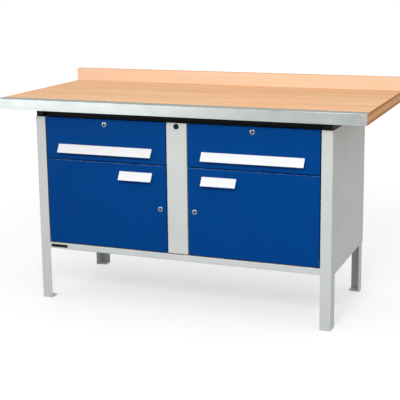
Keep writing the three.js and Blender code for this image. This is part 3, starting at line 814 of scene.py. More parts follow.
def cover(tree, shader, coat, depth):
    """Feeds a group's colour, roughness and height into the shader."""
    tree.links.new(coat["Color"], shader["Base Color"])
    tree.links.new(coat["Roughness"], shader["Roughness"])
    raise_surface(tree, shader, coat["Height"], depth)


def raise_surface(tree, shader, height, depth):
    """Feeds a height into the shader's normal."""
    bump = add_node(tree, "ShaderNodeBump", {"Height": height, "Distance": depth})
    tree.links.new(bump.outputs["Normal"], shader["Normal"])


def mark(tree, name):
    """A mark that mark_faces or mark_edges left on the mesh, zero where there is none."""
    return add_node(tree, "ShaderNodeAttribute", attribute_name=name).outputs["Fac"]


def painted(name, paint, roughness, rub_and_highlight, gloss):
    """A powder-coated finish."""
    material, tree, shader, place = new_finish(name, Specular_IOR_Level=gloss)
    coat = place_group(tree, "Powder coat", {
        "Vector": place, "Paint": (*paint, 1), "Roughness": roughness,
        "Edge": mark(tree, "edge"), "Wear": rub_and_highlight,
    })
    cover(tree, shader, coat, PEEL_DEPTH)
    return material


def metallic(name, metal, roughness, streaks, turn=(0, 0, 0)):
    """A bare or plated metal finish, with its streaks turned along the piece."""
    material, tree, shader, place = new_finish(name, Metallic=1.0)
    turned = add_node(tree, "ShaderNodeMapping", {"Vector": place, "Rotation": turn})
    sheet = place_group(tree, "Rolled metal", {
        "Vector": turned.outputs[0], "Metal": (*metal, 1), "Roughness": roughness,
        "Edge": mark(tree, "edge"), "Dull": mark(tree, "dull"),
    })
    cover(tree, shader, sheet, streaks)
    return material


def wooden(name, node, stack_axis, plies, pale, warm):
    """Beech veneer on the faces of a board, with its glued layers showing at its edges."""
    colours = bpy.context.scene.bench_colours
    low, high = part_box(node)
    start, end = getattr(low, stack_axis), getattr(high, stack_axis)
    material, tree, shader, place = new_finish(name, Specular_IOR_Level=0.15)
    face = place_group(tree, "Beech figure", {"Vector": place, "Pale": (*pale, 1), "Warm": (*warm, 1)})
    parts = add_node(tree, "ShaderNodeSeparateXYZ", {0: place}).outputs
    stack = spread(tree, parts[stack_axis.upper()], start, end, 0.0, 1.0)
    edge = place_group(tree, "Board layers", {
        "Vector": place, "Stack": stack, "Plies": plies,
        "Pale": (*colours.ply_pale, 1), "Warm": (*colours.ply_warm, 1),
    })
    layered = mark(tree, "layered")
    tree.links.new(blend(tree, "MIX", layered, face["Color"], edge["Color"]), shader["Base Color"])
    tree.links.new(face["Roughness"], shader["Roughness"])
    height = calc(tree, "ADD", face["Height"], calc(tree, "MULTIPLY", layered, edge["Height"]))
    raise_surface(tree, shader, height, GRAIN_DEPTH)
    return material


def finish_for(slot):
    """The finish of a slot, made when it is first asked for."""
    name = slot + "_finish"
    kept = bpy.data.materials.get(name)
    if kept:
        return kept
    colours = bpy.context.scene.bench_colours
    paints = {
        # The rub and highlight share also sets how strongly the doors' upper fold gets its painted
        # highlight.
        "grey_paint": {"paint": colours.grey, "roughness": 0.45, "rub_and_highlight": 0.25, "gloss": 0.3},
        "blue_paint": {"paint": colours.blue, "roughness": 0.42, "rub_and_highlight": 0.22, "gloss": 0.03},
        "handle_paint": {"paint": colours.handle, "roughness": 0.40, "rub_and_highlight": 0.20, "gloss": 0.3},
        "black_paint": {"paint": colours.black, "roughness": 0.55, "rub_and_highlight": 0.10, "gloss": 0.1},
        "black_plastic": {"paint": colours.plastic, "roughness": 0.55, "rub_and_highlight": 0.0, "gloss": 0.12},
    }
    along_y = (0, 0, math.pi / 2)
    metals = {
        "edge_steel": {"metal": colours.edge_steel, "roughness": 0.34, "streaks": 0.00001},
        "zinc_steel": {"metal": colours.zinc, "roughness": 0.36, "streaks": 0.00001, "turn": along_y},
        "chrome": {"metal": colours.chrome, "roughness": 0.14, "streaks": 0.000002},
    }
    woods = {
        "beech": ("worktop", "z", WORKTOP_PLIES, colours.beech_pale, colours.beech_warm),
        # The upstand's paler colours are painted light.
        "pale_beech": ("rear_upstand", "y", UPSTAND_PLIES, colours.upstand_pale, colours.upstand_warm),
    }
    if slot in paints:
        return painted(name, **paints[slot])
    if slot in metals:
        return metallic(name, **metals[slot])
    return wooden(name, *woods[slot])


class BENCH_OT_worktop(bpy.types.Operator):
    """Beech board with a rebate for its steel edge and a seat for the upstand"""

    bl_idname = "bench.worktop"
    bl_label = "Worktop"

    def execute(self, context):
        sizes = context.scene.bench_sizes
        low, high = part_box("worktop")
        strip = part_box("worktop_front_edge")[1]
        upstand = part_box("rear_upstand")[0]
        seat_y, seat_z = upstand.y - sizes.touch, upstand.z - sizes.touch
        rebate_y, rebate_z = strip.y + sizes.touch, strip.z - sizes.rail_sheet - sizes.touch
        board = add_block("worktop_board", low, put(high, z=seat_z))
        with editing(board):
            bisect_at(y=seat_y)
            pick("FACE", lies(z=seat_z), under(y=seat_y))
            draw_faces((0, 0, rebate_z - seat_z))
            bisect_at(y=rebate_y)
            pick("FACE", lies(z=rebate_z), over(y=rebate_y))
            draw_faces((0, 0, high.z - rebate_z))
        dress(board, "beech", "bench", "worktop", rounding=sizes.board_edge)
        mark_faces(board, "layered", looks_aside("z"))
        return {"FINISHED"}


class BENCH_OT_front_edge(bpy.types.Operator):
    """Steel angle along the front of the worktop"""

    bl_idname = "bench.front_edge"
    bl_label = "Front edge"

    def execute(self, context):
        sizes = context.scene.bench_sizes
        low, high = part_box("worktop_front_edge")
        edges = [{"z": high.z}]
        strip = fold_front("front_edge_angle", low, high, edges, sizes.rail_sheet, sizes.fold_radius)
        dress(strip, "edge_steel", "bench", "worktop_front_edge")
        # The angle's faces that look up are marked for painted shade, darker than its front.
        mark_faces(strip, "dull", lambda face: face.normal.z > SQUARE)
        return {"FINISHED"}


class BENCH_OT_upstand(bpy.types.Operator):
    """Beech board that stands along the rear of the worktop"""

    bl_idname = "bench.upstand"
    bl_label = "Upstand"

    def execute(self, context):
        sizes = context.scene.bench_sizes
        low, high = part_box("rear_upstand")
        board = add_block("upstand_board", low, high)
        with editing(board):
            pick("EDGE", lies(z=high.z, y=low.y))
            round_edges(2 * sizes.board_edge)
        dress(board, "pale_beech", "bench", "rear_upstand", rounding=sizes.board_edge)
        mark_faces(board, "layered", looks_aside("y"))
        return {"FINISHED"}


class BENCH_OT_legs(bpy.types.Operator):
    """Four folded legs with plates at their heads and feet"""

    bl_idname = "bench.legs"
    bl_label = "Legs"

    def execute(self, context):
        sizes = context.scene.bench_sizes
        low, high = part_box("leg_front_right")
        edges = [{"x": high.x}]
        leg = fold_front("front_leg_right", low, high, edges, sizes.leg_sheet, sizes.leg_fold_radius)
        with editing(leg):
            pick("EDGE", lies(y=high.y, z=low.z))
            round_edges(sizes.leg_corner, CORNER_STEPS)
        in_wall = sizes.leg_sheet / 2
        foot_low = put(low, y=low.y + in_wall)
        head_high = put(high, x=high.x - in_wall)
        foot_high = put(head_high, y=low.y + sizes.foot_depth, z=low.z + sizes.leg_plate)
        head_low = put(foot_low, z=high.z - sizes.leg_plate)
        carve(leg, add_block("foot", foot_low, foot_high), "UNION")
        carve(leg, add_block("head", head_low, head_high), "UNION")
        rear = copy_piece(leg, "rear_leg_right", "leg_front_right", "leg_rear_right", flip=(1, -1, 1))
        dress_pair(leg, "grey_paint", "bench", "leg_front_{}")
        dress_pair(rear, "grey_paint", "bench", "leg_rear_{}")
        return {"FINISHED"}


class BENCH_OT_top_frame(bpy.types.Operator):
    """Black rails between the legs and the worktop, the side tubes closed with caps"""

    bl_idname = "bench.top_frame"
    bl_label = "Top frame"

    def execute(self, context):
        sizes = context.scene.bench_sizes
        low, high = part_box("side_top_rail_right")
        tube = add_block("side_rail_tube_right", low, high)
        with editing(tube):
            pick("FACE", looks_along("y"))
            bpy.ops.mesh.inset(thickness=sizes.rail_sheet)
            bpy.ops.mesh.bridge_edge_loops()
        dress_pair(tube, "black_paint", "bench", "side_top_rail_{}")
        bore = sizes.rail_sheet + sizes.touch
        sunk = 0.2 * sizes.cap_depth
        cap_low = low + Vector((bore, sunk, bore))
        cap_high = Vector((high.x - bore, low.y + sizes.cap_depth, high.z - bore))
        rim = 0.25 * (cap_high.x - cap_low.x)
        dish = 0.15 * sizes.cap_depth
        caps = add_block("tube_caps_right", cap_low, cap_high)
        with editing(caps):
            pick("FACE", looks_along("y"))
            bpy.ops.mesh.inset(thickness=rim, depth=-dish)
        repeat(caps, 2, (0, high.y - low.y - sizes.cap_depth - sunk, 0))
        dress_pair(caps, "black_plastic", "bench", "side_top_rail_{}", detail=True)
        low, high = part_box("front_top_rail")
        edges = [{"z": high.z}]
        front = fold_front("front_rail_angle", low, high, edges, sizes.rail_sheet, sizes.fold_radius)
        rear = copy_piece(front, "rear_rail_angle", "front_top_rail", "rear_top_rail", flip=(1, -1, 1))
        dress(front, "black_paint", "bench", "front_top_rail")
        dress(rear, "black_paint", "bench", "rear_top_rail")
        return {"FINISHED"}


class BENCH_OT_side_panels(bpy.types.Operator):
    """Grey panels behind the front legs, lipped at head, foot and front"""

    bl_idname = "bench.side_panels"
    bl_label = "Side panels"

    def execute(self, context):
        sizes = context.scene.bench_sizes
        low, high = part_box("side_panel_right")
        lip_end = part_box("leg_rear_right")[0].y - sizes.touch
        front_lip = 0.8 * sizes.panel_lip
        panel = add_sheet("side_panel_skin_right", put(low, x=high.x), high, "+x")
        with editing(panel):
            bisect_at(y=lip_end)
            for z in (low.z, high.z):
                pick("EDGE", lies(z=z, x=high.x), under(y=lip_end))
                draw_edges((-sizes.panel_lip, 0, 0))
            pick("EDGE", lies(y=low.y, x=high.x))
            draw_edges((-front_lip, 0, 0))
            pick("EDGE", is_fold)
            round_edges(sizes.fold_radius)
        thicken(panel, sizes.panel_sheet)
        dress_pair(panel, "grey_paint", "bench", "side_panel_{}")
        return {"FINISHED"}


class BENCH_OT_rear_panel(bpy.types.Operator):
    """Grey sheet across the back with rounded corners, screwed to the rear legs"""

    bl_idname = "bench.rear_panel"
    bl_label = "Rear panel"

    def execute(self, context):
        sizes = context.scene.bench_sizes
        low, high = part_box("rear_panel")
        sheet = add_block("rear_panel_sheet", low, high)
        with editing(sheet):
            pick("EDGE", runs("y"))
            round_edges(sizes.panel_corner, CORNER_STEPS)
        dress(sheet, "grey_paint", "bench", "rear_panel")
        leg_low, leg_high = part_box("leg_rear_right")
        seat = Vector((leg_low.x + sizes.screw_inset, leg_high.y, low.z + sizes.screw_margin))
        profile = scaled(SCREW_PROFILE, sizes.screw_head, sizes.screw_head)
        screws = turn_profile("rear_panel_screws_right", seat, BACK, profile, SCREW_STEPS)
        step = (high.z - low.z - 2 * sizes.screw_margin) / (SCREW_COUNT - 1)
        repeat(screws, SCREW_COUNT, (0, 0, step))
        dress_pair(screws, "zinc_steel", "bench", "leg_rear_{}", rounding=0, detail=True)
        return {"FINISHED"}


class BENCH_OT_bottom_rail(bpy.types.Operator):
    """Grey rail under the doors, with a bare dark name plate at its left end"""

    bl_idname = "bench.bottom_rail"
    bl_label = "Bottom rail"

    def execute(self, context):
        sizes = context.scene.bench_sizes
        low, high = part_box("bottom_front_rail")
        edges = [{"z": high.z}, {"z": low.z}]
        rail = fold_front("bottom_rail_channel", low, high, edges, sizes.rail_sheet, sizes.fold_radius)
        dress(rail, "grey_paint", "bench", "bottom_front_rail")
        base = Vector((low.x + sizes.plate_inset, low.y, (low.z + high.z - sizes.plate_height) / 2))
        reach = Vector((sizes.plate_length, 0, sizes.plate_height))
        thickness = Vector((0, sizes.plate_thickness, 0))
        corner = 0.15 * sizes.plate_height
        plate = add_block("name_plate", base - thickness, base + reach)
        with editing(plate):
            pick("EDGE", runs("y"))
            round_edges(corner)
        dress(plate, "black_plastic", "bench", rounding=0.3 * sizes.plate_thickness)
        return {"FINISHED"}


class BENCH_OT_cabinet_floor(bpy.types.Operator):
    """Grey floor of the cupboards, lipped at front and rear"""

    bl_idname = "bench.cabinet_floor"
    bl_label = "Cabinet floor"

    def execute(self, context):
        floor = fold_tray("cabinet_floor_sheet", *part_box("cabinet_floor"))
        dress(floor, "grey_paint", "bench", "cabinet_floor")
        return {"FINISHED"}


class BENCH_OT_column(bpy.types.Operator):
    """Grey column between the cupboards with latch slots and a black plug"""

    bl_idname = "bench.column"
    bl_label = "Column"

    def execute(self, context):
        sizes = context.scene.bench_sizes
        low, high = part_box("centre_column")
        edges = [{"x": low.x}, {"x": high.x}]
        column = fold_front("column_channel", low, high, edges, sizes.panel_sheet, sizes.fold_radius)
        cam_low, cam_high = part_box("door_right_lock_cam")
        lock_z = centre_of("door_right_lock_barrel").z
        wide = 2 * high.x
        slot_low = Vector((-wide, cam_low.y - sizes.slot_spare, lock_z - sizes.latch_reach))
        slot_high = Vector((wide, cam_high.y + sizes.slot_spare, lock_z + sizes.latch_reach))
        carve(column, add_block("latch_slot", slot_low, slot_high))
        plug_low, plug_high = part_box("column_plug")
        centre = put(centre_of("column_plug"), y=plug_low.y)
        face = (plug_high.z - plug_low.z) / 2
        body = face - sizes.plug_step
        reach = TOOL_REACH * BACK
        carve(column, add_rod("plug_hole", centre - reach, centre + reach, body + sizes.hole_spare))
        dress(column, "grey_paint", "bench", "centre_column")
        plug = turn_profile("column_plug_turned", centre, BACK, [
            *scaled(PLUG_PROFILE, face, sizes.plug_face),
            (body, sizes.plug_face),
            *blunt_end(body, plug_high.y - plug_low.y, sizes.plug_chamfer),
        ])
        dress(plug, "black_plastic", "bench", "column_plug", rounding=0)
        return {"FINISHED"}


def clip_rows():
    """Where the front and rear rows of shelf clips stand along Y."""
    low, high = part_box("shelf_right")
    inset = CLIP_INSET * (high.y - low.y)
    return low.y + inset, high.y - inset


def clip_level():
    """The underside of the shelf, on which its clips bear."""
    sizes = bpy.context.scene.bench_sizes
    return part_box("shelf_right")[1].z - sizes.panel_sheet - sizes.touch


class BENCH_OT_cabinet_walls(bpy.types.Operator):
    """Grey walls on both sides of each cupboard, punched with slots for the shelf clips"""

    bl_idname = "bench.cabinet_walls"
    bl_label = "Cabinet walls"

    def execute(self, context):
        sizes = context.scene.bench_sizes
        low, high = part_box("cabinet_inner_wall_right")
        inner = add_block("inner_wall_right", low, high)
        front, rear = clip_rows()
        half = Vector((high.x - low.x, sizes.slot_width / 2, sizes.slot_height / 2))
        lowest = clip_level() - sizes.slot_height / 2 - SLOTS_BELOW * sizes.slot_pitch
        base = Vector((low.x, front, lowest))
        corner = 0.45 * sizes.slot_width
        slots = add_block("clip_slots", base - half, base + half)
        with editing(slots):
            pick("EDGE", runs("x"))
            round_edges(corner)
        repeat(slots, SLOT_COUNT, (0, 0, sizes.slot_pitch))
        repeat(slots, 2, (0, rear - front, 0))
        carve(inner, slots)
        outer = copy_piece(inner, "outer_wall_right", "cabinet_inner_wall_right", "cabinet_outer_wall_right")
        dress_pair(inner, "grey_paint", "bench", "cabinet_inner_wall_{}")
        dress_pair(outer, "grey_paint", "bench", "cabinet_outer_wall_{}")
        return {"FINISHED"}


class BENCH_OT_dividers(bpy.types.Operator):
    """Grey sheets between drawer and cupboard, with a tab for the door's upper pin, painted black: painted
    shade in the gap above the door
    """

    bl_idname = "bench.dividers"
    bl_label = "Dividers"

    def execute(self, context):
        sizes = context.scene.bench_sizes
        low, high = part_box("cabinet_divider_right")
        pin_low, pin_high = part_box("hinge_pin_upper_right")
        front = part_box("cabinet_inner_wall_right")[0].y
        sheet = add_block("divider_right", put(low, y=front), high)
        tab_low = pin_low.x - sizes.tab_margin
        tab_high = pin_high.x + sizes.tab_margin
        with editing(sheet):
            bisect_at(x=tab_low)
            bisect_at(x=tab_high)
            pick("FACE", lies(y=front), over(x=tab_low), under(x=tab_high))
            draw_faces((0, low.y - front, 0))
            pick("EDGE", lies(y=low.y), runs("z"))
            round_edges(sizes.tab_corner, CORNER_STEPS)
        # The tab is painted black: painted shade, so that it shows as shade in the gap above the door.
        paint_part(sheet, 1, lambda place: place.y < front - TAB_START)
        dress_pair(sheet, ("grey_paint", "black_paint"), "bench", "cabinet_divider_{}")
        return {"FINISHED"}


class BENCH_OT_shelves(bpy.types.Operator):
    """Grey shelves, lipped at front and rear, on clips hooked into the walls"""

    bl_idname = "bench.shelves"
    bl_label = "Shelves"

    def execute(self, context):
        sizes = context.scene.bench_sizes
        shelf = fold_tray("shelf_sheet_right", *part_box("shelf_right"))
        dress_pair(shelf, "grey_paint", "bench", "shelf_{}")
        inner_wall, outer_wall = "cabinet_inner_wall_right", "cabinet_outer_wall_right"
        sheet = sizes.panel_sheet
        front, rear = clip_rows()
        web_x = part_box(inner_wall)[1].x + sheet + sizes.touch
        head = clip_level() - sheet
        foot = head - 0.8 * sizes.slot_height
        half = sizes.clip_width / 2
        web_low = Vector((web_x, front - half, foot))
        web_high = Vector((web_x, front + half, head))
        tongue = ({"z": head}, (sizes.clip_reach, 0, 0))
        clips = fold_sheet("inner_clips_right", web_low, web_high, "+x", [tongue], sheet, 0.2 * sheet)
        repeat(clips, 2, (0, rear - front, 0))
        outer = copy_piece(clips, "outer_clips_right", inner_wall, outer_wall, flip=(-1, 1, 1))
        dress_pair(clips, "zinc_steel", "bench", "cabinet_inner_wall_{}", detail=True)
        dress_pair(outer, "zinc_steel", "bench", "cabinet_outer_wall_{}", detail=True)
        return {"FINISHED"}


def front_pan(name, node, barrel):
    """A pan of folded sheet with a lip behind its edges and a hole for its lock."""
    sizes = bpy.context.scene.bench_sizes
    low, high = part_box(node)
    pan = add_sheet(name, low, put(high, y=low.y), "-y")
    with editing(pan):
        pick("EDGE", is_rim)
        draw_edges((0, high.y - low.y, 0))
        pick("EDGE", is_rim)
        draw_inwards(low, high, "xz", sizes.front_lip)
        pick("EDGE", is_fold)
        round_edges(sizes.fold_radius)
    thicken(pan, sizes.panel_sheet)
    centre = centre_of(barrel)
    start = put(centre, y=low.y - TOOL_REACH)
    end = put(centre, y=low.y + LOCK_HOLE_DEPTH)
    carve(pan, add_rod("lock_hole", start, end, sizes.barrel_radius + sizes.hole_spare))
    return pan


class BENCH_OT_drawer_fronts(bpy.types.Operator):
    """Blue drawer fronts"""

    bl_idname = "bench.drawer_fronts"
    bl_label = "Drawer fronts"

    def execute(self, context):
        pan = front_pan("drawer_front_pan_right", "drawer_front_right", "drawer_right_lock_barrel")
        dress_pair(pan, "blue_paint", "drawer_{}", "drawer_front_{}")
        return {"FINISHED"}


class BENCH_OT_doors(bpy.types.Operator):
    """Blue doors with holes for their hinge pins, and a painted highlight along their upper fold"""

    bl_idname = "bench.doors"
    bl_label = "Doors"

    def execute(self, context):
        sizes = context.scene.bench_sizes
        pan = front_pan("door_pan_right", "door_panel_right", "door_right_lock_barrel")
        low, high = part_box("door_panel_right")
        pin = centre_of("hinge_pin_upper_right")
        start = put(pin, z=low.z - TOOL_REACH)
        end = put(pin, z=high.z + TOOL_REACH)
        carve(pan, add_rod("pin_hole", start, end, sizes.pin_radius + sizes.hole_spare))
        dress_pair(pan, "blue_paint", "door_{}", "door_panel_{}")
        # The upper fold of each door is marked as an edge, so its paint is lightened there: a painted
        # highlight.
        for side in ("right", "left"):
            mark_faces(bpy.data.objects[f"door_pan_{side}"], "edge", is_upper_fold)
        return {"FINISHED"}


class BENCH_OT_handles(bpy.types.Operator):
    """Pale strips, folded into a flange on the front and a blade to grip"""

    bl_idname = "bench.handles"
    bl_label = "Handles"

    def execute(self, context):
        sizes = context.scene.bench_sizes
        fold = 0.4 * sizes.rail_sheet
        for kind in ("drawer", "door"):
            low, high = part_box(f"{kind}_handle_right")
            base = Vector((low.x, high.y, high.z - sizes.handle_flange))
            shorter = 1 - 2 * sizes.handle_taper / (high.x - low.x)
            strip = add_sheet(f"{kind}_handle_strip_right", base, high, "+y")
            with editing(strip):
                pick("EDGE", lies(z=base.z))
                bpy.ops.transform.resize(value=(shorter, 1, 1), center_override=(base + high) / 2)
                pick("EDGE", lies(z=high.z))
                draw_edges((0, -sizes.rail_sheet, 0))
                draw_edges((0, low.y - high.y + sizes.rail_sheet, low.z - high.z))
                pick("EDGE", is_fold)
                round_edges(fold)
            thicken(strip, sizes.rail_sheet)
            dress_pair(strip, "handle_paint", f"{kind}_{{}}", f"{kind}_handle_{{}}")
        return {"FINISHED"}


class BENCH_OT_locks(bpy.types.Operator):
    """Chrome lock barrels with a dark keyhole, and the cams behind them"""

    bl_idname = "bench.locks"
    bl_label = "Locks"

    def execute(self, context):
        sizes = context.scene.bench_sizes
        node = "drawer_right_lock_barrel"
        low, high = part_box(node)
        centre = put(centre_of(node), y=low.y)
        face = (high.z - low.z) / 2
        body = sizes.barrel_radius
        barrel = turn_profile("drawer_lock_right", centre, BACK, [
            *scaled(LOCK_PROFILE, face, sizes.lock_face),
            (body, sizes.lock_face),
            *blunt_end(body, high.y - low.y, sizes.barrel_chamfer),
        ])
        hole = Vector((sizes.keyhole_width, sizes.keyhole_depth, sizes.keyhole_height))
        carve(barrel, add_block("keyhole", centre - hole, centre + hole))
        core = CORE_SHARE * face
        core_end = centre.y + CORE_DEPTH
        paint_part(barrel, 1, lambda place: place.y < core_end and math.dist(place.xz, centre.xz) < core)
        door = copy_piece(barrel, "door_lock_right", node, "door_right_lock_barrel")
        finishes = ("chrome", "black_plastic")
        dress_pair(barrel, finishes, "drawer_lock_{}", "drawer_{}_lock_barrel", rounding=0)
        dress_pair(door, finishes, "door_lock_{}", "door_{}_lock_barrel", rounding=0)
        for kind in ("drawer", "door"):
            cam = add_block(f"{kind}_cam_right", *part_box(f"{kind}_right_lock_cam"))
            with editing(cam):
                pick("EDGE", runs("y"))
                round_edges(sizes.cam_corner, CAM_STEPS)
            dress_pair(cam, "zinc_steel", f"{kind}_lock_{{}}", f"{kind}_{{}}_lock_cam")
        return {"FINISHED"}


class BENCH_OT_drawer_boxes(bpy.types.Operator):
    """Grey drawer boxes of folded sheet, open at the top, with a rim folded in"""

    bl_idname = "bench.drawer_boxes"
    bl_label = "Drawer boxes"

    def execute(self, context):
        sizes = context.scene.bench_sizes
        low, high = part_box("drawer_box_right")
        box = add_block("drawer_box_sheet_right", low, high)
        with editing(box):
            pick("FACE", lies(z=high.z))
            bpy.ops.mesh.delete(type="FACE")
            pick("EDGE", is_rim)
            draw_inwards(low, high, "xy", sizes.drawer_rim)
            pick("EDGE", is_fold)
            round_edges(sizes.fold_radius)
        thicken(box, sizes.panel_sheet)
        dress_pair(box, "grey_paint", "drawer_{}", "drawer_box_{}")
        return {"FINISHED"}


class BENCH_OT_slides(bpy.types.Operator):
    """Telescopic slides: fixed rail, carriage and runner on both sides of each drawer"""

    bl_idname = "bench.slides"
    bl_label = "Slides"

    def execute(self, context):
        sizes = context.scene.bench_sizes
        fold = 0.8 * sizes.fold_radius
        bodies = {"rail": "bench", "carriage": "carriage_{}", "runner": "drawer_{}"}
        for member, body in bodies.items():
            inner_node, outer_node = f"slide_{member}_right_inner", f"slide_{member}_right_outer"
            low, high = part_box(inner_node)
            back = high.x if member == "runner" else low.x
            outward = "+x" if member == "runner" else "-x"
            reach = (low.x + high.x - 2 * back, 0, 0)
            folds = [({"z": high.z}, reach), ({"z": low.z}, reach)]
            channel = fold_sheet(
                f"slide_{member}_channel_right_inner", put(low, x=back), put(high, x=back), outward,
                folds, sizes.panel_sheet, fold,
            )
            outer_name = f"slide_{member}_channel_right_outer"
            outer = copy_piece(channel, outer_name, inner_node, outer_node, flip=(-1, 1, 1))
            dress_pair(channel, "zinc_steel", body, f"slide_{member}_{{}}_inner")
            dress_pair(outer, "zinc_steel", body, f"slide_{member}_{{}}_outer")
        return {"FINISHED"}


class BENCH_OT_hinge_pins(bpy.types.Operator):
    """Turned hinge pins, the lower ones with a black washer that carries the door"""

    bl_idname = "bench.hinge_pins"
    bl_label = "Hinge pins"

    def execute(self, context):
        sizes = context.scene.bench_sizes
        pin = sizes.pin_radius
        tip = 0.2 * pin
        node = "hinge_pin_lower_right"
        low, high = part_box(node)
        foot = put(centre_of(node), z=low.z)
        washer = (high.x - low.x) / 2
        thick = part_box("door_panel_right")[0].z - sizes.touch - low.z
        lower = turn_profile("lower_pin_right", foot, UP, [
            (0, 0), (washer - tip, 0), (washer, tip), (washer, thick - tip), (washer - tip, thick),
            (pin, thick), *blunt_end(pin, high.z - low.z, tip),
        ])
        paint_part(lower, 1, lambda place: place.z < foot.z + thick + NEAR)
        dress_pair(lower, ("zinc_steel", "black_plastic"), "bench", "hinge_pin_lower_{}", rounding=0)
        node = "hinge_pin_upper_right"
        low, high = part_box(node)
        upper = turn_profile("upper_pin_right", put(centre_of(node), z=low.z), UP, [
            (0, 0), (pin - tip, 0), (pin, tip), *blunt_end(pin, high.z - low.z, tip),
        ])
        dress_pair(upper, "zinc_steel", "bench", "hinge_pin_upper_{}", rounding=0)
        return {"FINISHED"}


def seen_directly(tree):
    """One for rays from the camera, a mirror or glass, zero for light that falls on the bench."""
    rays = add_node(tree, "ShaderNodeLightPath").outputs
    mirrored = calc(tree, "ADD", rays["Is Glossy Ray"], rays["Is Transmission Ray"])
    return calc(tree, "ADD", rays["Is Camera Ray"], mirrored, clamp=True)


def lay_floor(context):
    """A pale floor that the camera sees as white, with the bench's shadow on it."""
    stage = context.scene.bench_stage
    deselect_all()
    bpy.ops.mesh.primitive_plane_add(size=FLOOR_SIDE, location=(0, 0, -FLOOR_GAP))
    floor = context.object
    floor.name = "studio_floor"
    material, tree, shader, place = new_finish("studio_floor", Roughness=0.9, Specular_IOR_Level=0.0)
    cloud = stretched_noise(tree, place, (2, 2, 2))
    tone = spread(tree, cloud, *MOST, 0.99, 1.01)
    pale = blend(tree, "MULTIPLY", 1.0, (*context.scene.bench_colours.floor, 1), tone)
    tree.links.new(pale, shader["Base Color"])
    shader["Emission Color"].default_value = WHITE
    distance = add_node(tree, "ShaderNodeVectorMath", {0: place}, operation="LENGTH").outputs["Value"]
    glow = spread(tree, distance, *GLOW_SPAN, stage.floor_glow, stage.far_glow)
    tree.links.new(calc(tree, "MULTIPLY", seen_directly(tree), glow), shader["Emission Strength"])
    floor.data.materials.append(material)


def light_sky(context):
    """An even sky, brighter overhead, that the camera sees as white."""
    stage = context.scene.bench_stage
    world = bpy.data.worlds.new("studio_sky")
    world.use_nodes = True
    tree = world.node_tree
    lit = tree.nodes["Background"]
    lit.inputs["Color"].default_value = WHITE
    way = add_node(tree, "ShaderNodeTexCoord").outputs["Generated"]
    height = add_node(tree, "ShaderNodeSeparateXYZ", {0: way}).outputs["Z"]
    tree.links.new(spread(tree, height, 0.0, 1.0, stage.sky_low, stage.sky_high), lit.inputs["Strength"])
    white = add_node(tree, "ShaderNodeBackground", {"Color": WHITE, "Strength": 1.0})
    parts = {0: seen_directly(tree), 1: lit.outputs[0], 2: white.outputs[0]}
    mix = add_node(tree, "ShaderNodeMixShader", parts)
    tree.links.new(mix.outputs[0], tree.nodes["World Output"].inputs["Surface"])
    context.scene.world = world


def hang_lamps(context):
    """A soft key lamp, and a low lamp at the left that only shows as a gleam on metal and gloss."""
    stage = context.scene.bench_stage
    for name in ("key", "side"):
        where = Vector(getattr(stage, name + "_place"))
        bpy.ops.object.light_add(type="AREA", location=where)
        lamp = context.object
        lamp.name = name + "_lamp"
        lamp.data.shape = "RECTANGLE"
        lamp.data.size, lamp.data.size_y = getattr(stage, name + "_size")
        lamp.data.energy = getattr(stage, name + "_power")
        lamp.rotation_euler = (LAMP_AIM - where).to_track_quat("-Z", "Y").to_euler()
        lamp.visible_diffuse = name == "key"


def set_camera(context):
    """The camera at the photograph's angle."""
    stage = context.scene.bench_stage
    bpy.ops.object.camera_add(location=stage.camera_place)
    camera = context.object
    camera.name = "photo_camera"
    turn = Matrix.Rotation(stage.camera_heading, 3, "Z")
    tilt = Matrix.Rotation(math.pi / 2 - stage.camera_tilt, 3, "X")
    roll = Matrix.Rotation(stage.camera_roll, 3, "Z")
    camera.rotation_euler = (turn @ tilt @ roll).to_euler()
    camera.data.sensor_width = SENSOR_WIDTH
    camera.data.lens = stage.camera_lens
    camera.data.shift_y = stage.camera_shift
    camera.data.clip_end = CAMERA_RANGE
    context.scene.camera = camera


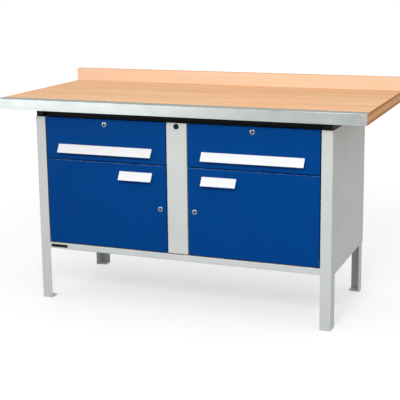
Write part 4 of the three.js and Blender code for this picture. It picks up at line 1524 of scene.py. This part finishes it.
class BENCH_OT_stage(bpy.types.Operator):
    """Pale floor, even sky, a soft key lamp, a low lamp for the steel edge and the camera"""

    bl_idname = "bench.stage"
    bl_label = "Stage"

    def execute(self, context):
        context.scene.view_settings.view_transform = "Standard"
        lay_floor(context)
        light_sky(context)
        hang_lamps(context)
        set_camera(context)
        return {"FINISHED"}


OPERATORS = (
    BENCH_OT_worktop,
    BENCH_OT_front_edge,
    BENCH_OT_upstand,
    BENCH_OT_legs,
    BENCH_OT_top_frame,
    BENCH_OT_side_panels,
    BENCH_OT_rear_panel,
    BENCH_OT_bottom_rail,
    BENCH_OT_cabinet_floor,
    BENCH_OT_column,
    BENCH_OT_cabinet_walls,
    BENCH_OT_dividers,
    BENCH_OT_shelves,
    BENCH_OT_drawer_fronts,
    BENCH_OT_doors,
    BENCH_OT_handles,
    BENCH_OT_locks,
    BENCH_OT_drawer_boxes,
    BENCH_OT_slides,
    BENCH_OT_hinge_pins,
    BENCH_OT_stage,
)

SETTINGS = {"bench_sizes": BenchSizes, "bench_colours": BenchColours, "bench_stage": BenchStage}


class BENCH_PT_pieces(bpy.types.Panel):
    """The workbench's pieces, sizes and colours"""

    bl_idname = "BENCH_PT_pieces"
    bl_label = "Workbench"
    bl_space_type = "VIEW_3D"
    bl_region_type = "UI"
    bl_category = "Workbench"

    def draw(self, context):
        for group, kind in SETTINGS.items():
            box = self.layout.box()
            for name in kind.__annotations__:
                box.prop(getattr(context.scene, group), name)
        for operator in OPERATORS:
            self.layout.operator(operator.bl_idname)


CLASSES = (*SETTINGS.values(), *OPERATORS, BENCH_PT_pieces)


def register():
    """Registers the classes and hangs the settings on the scene."""
    for kind in CLASSES:
        bpy.utils.register_class(kind)
    for group, kind in SETTINGS.items():
        setattr(bpy.types.Scene, group, PointerProperty(type=kind))


def unregister():
    """Takes the settings and classes away again."""
    for group in SETTINGS:
        delattr(bpy.types.Scene, group)
    for kind in reversed(CLASSES):
        bpy.utils.unregister_class(kind)


def main():
    """Builds every piece and the stage."""
    register()
    for operator in OPERATORS:
        make = getattr(bpy.ops.bench, operator.bl_idname.split(".")[1])
        make()
    deselect_all()


if __name__ == "__main__":
    main()
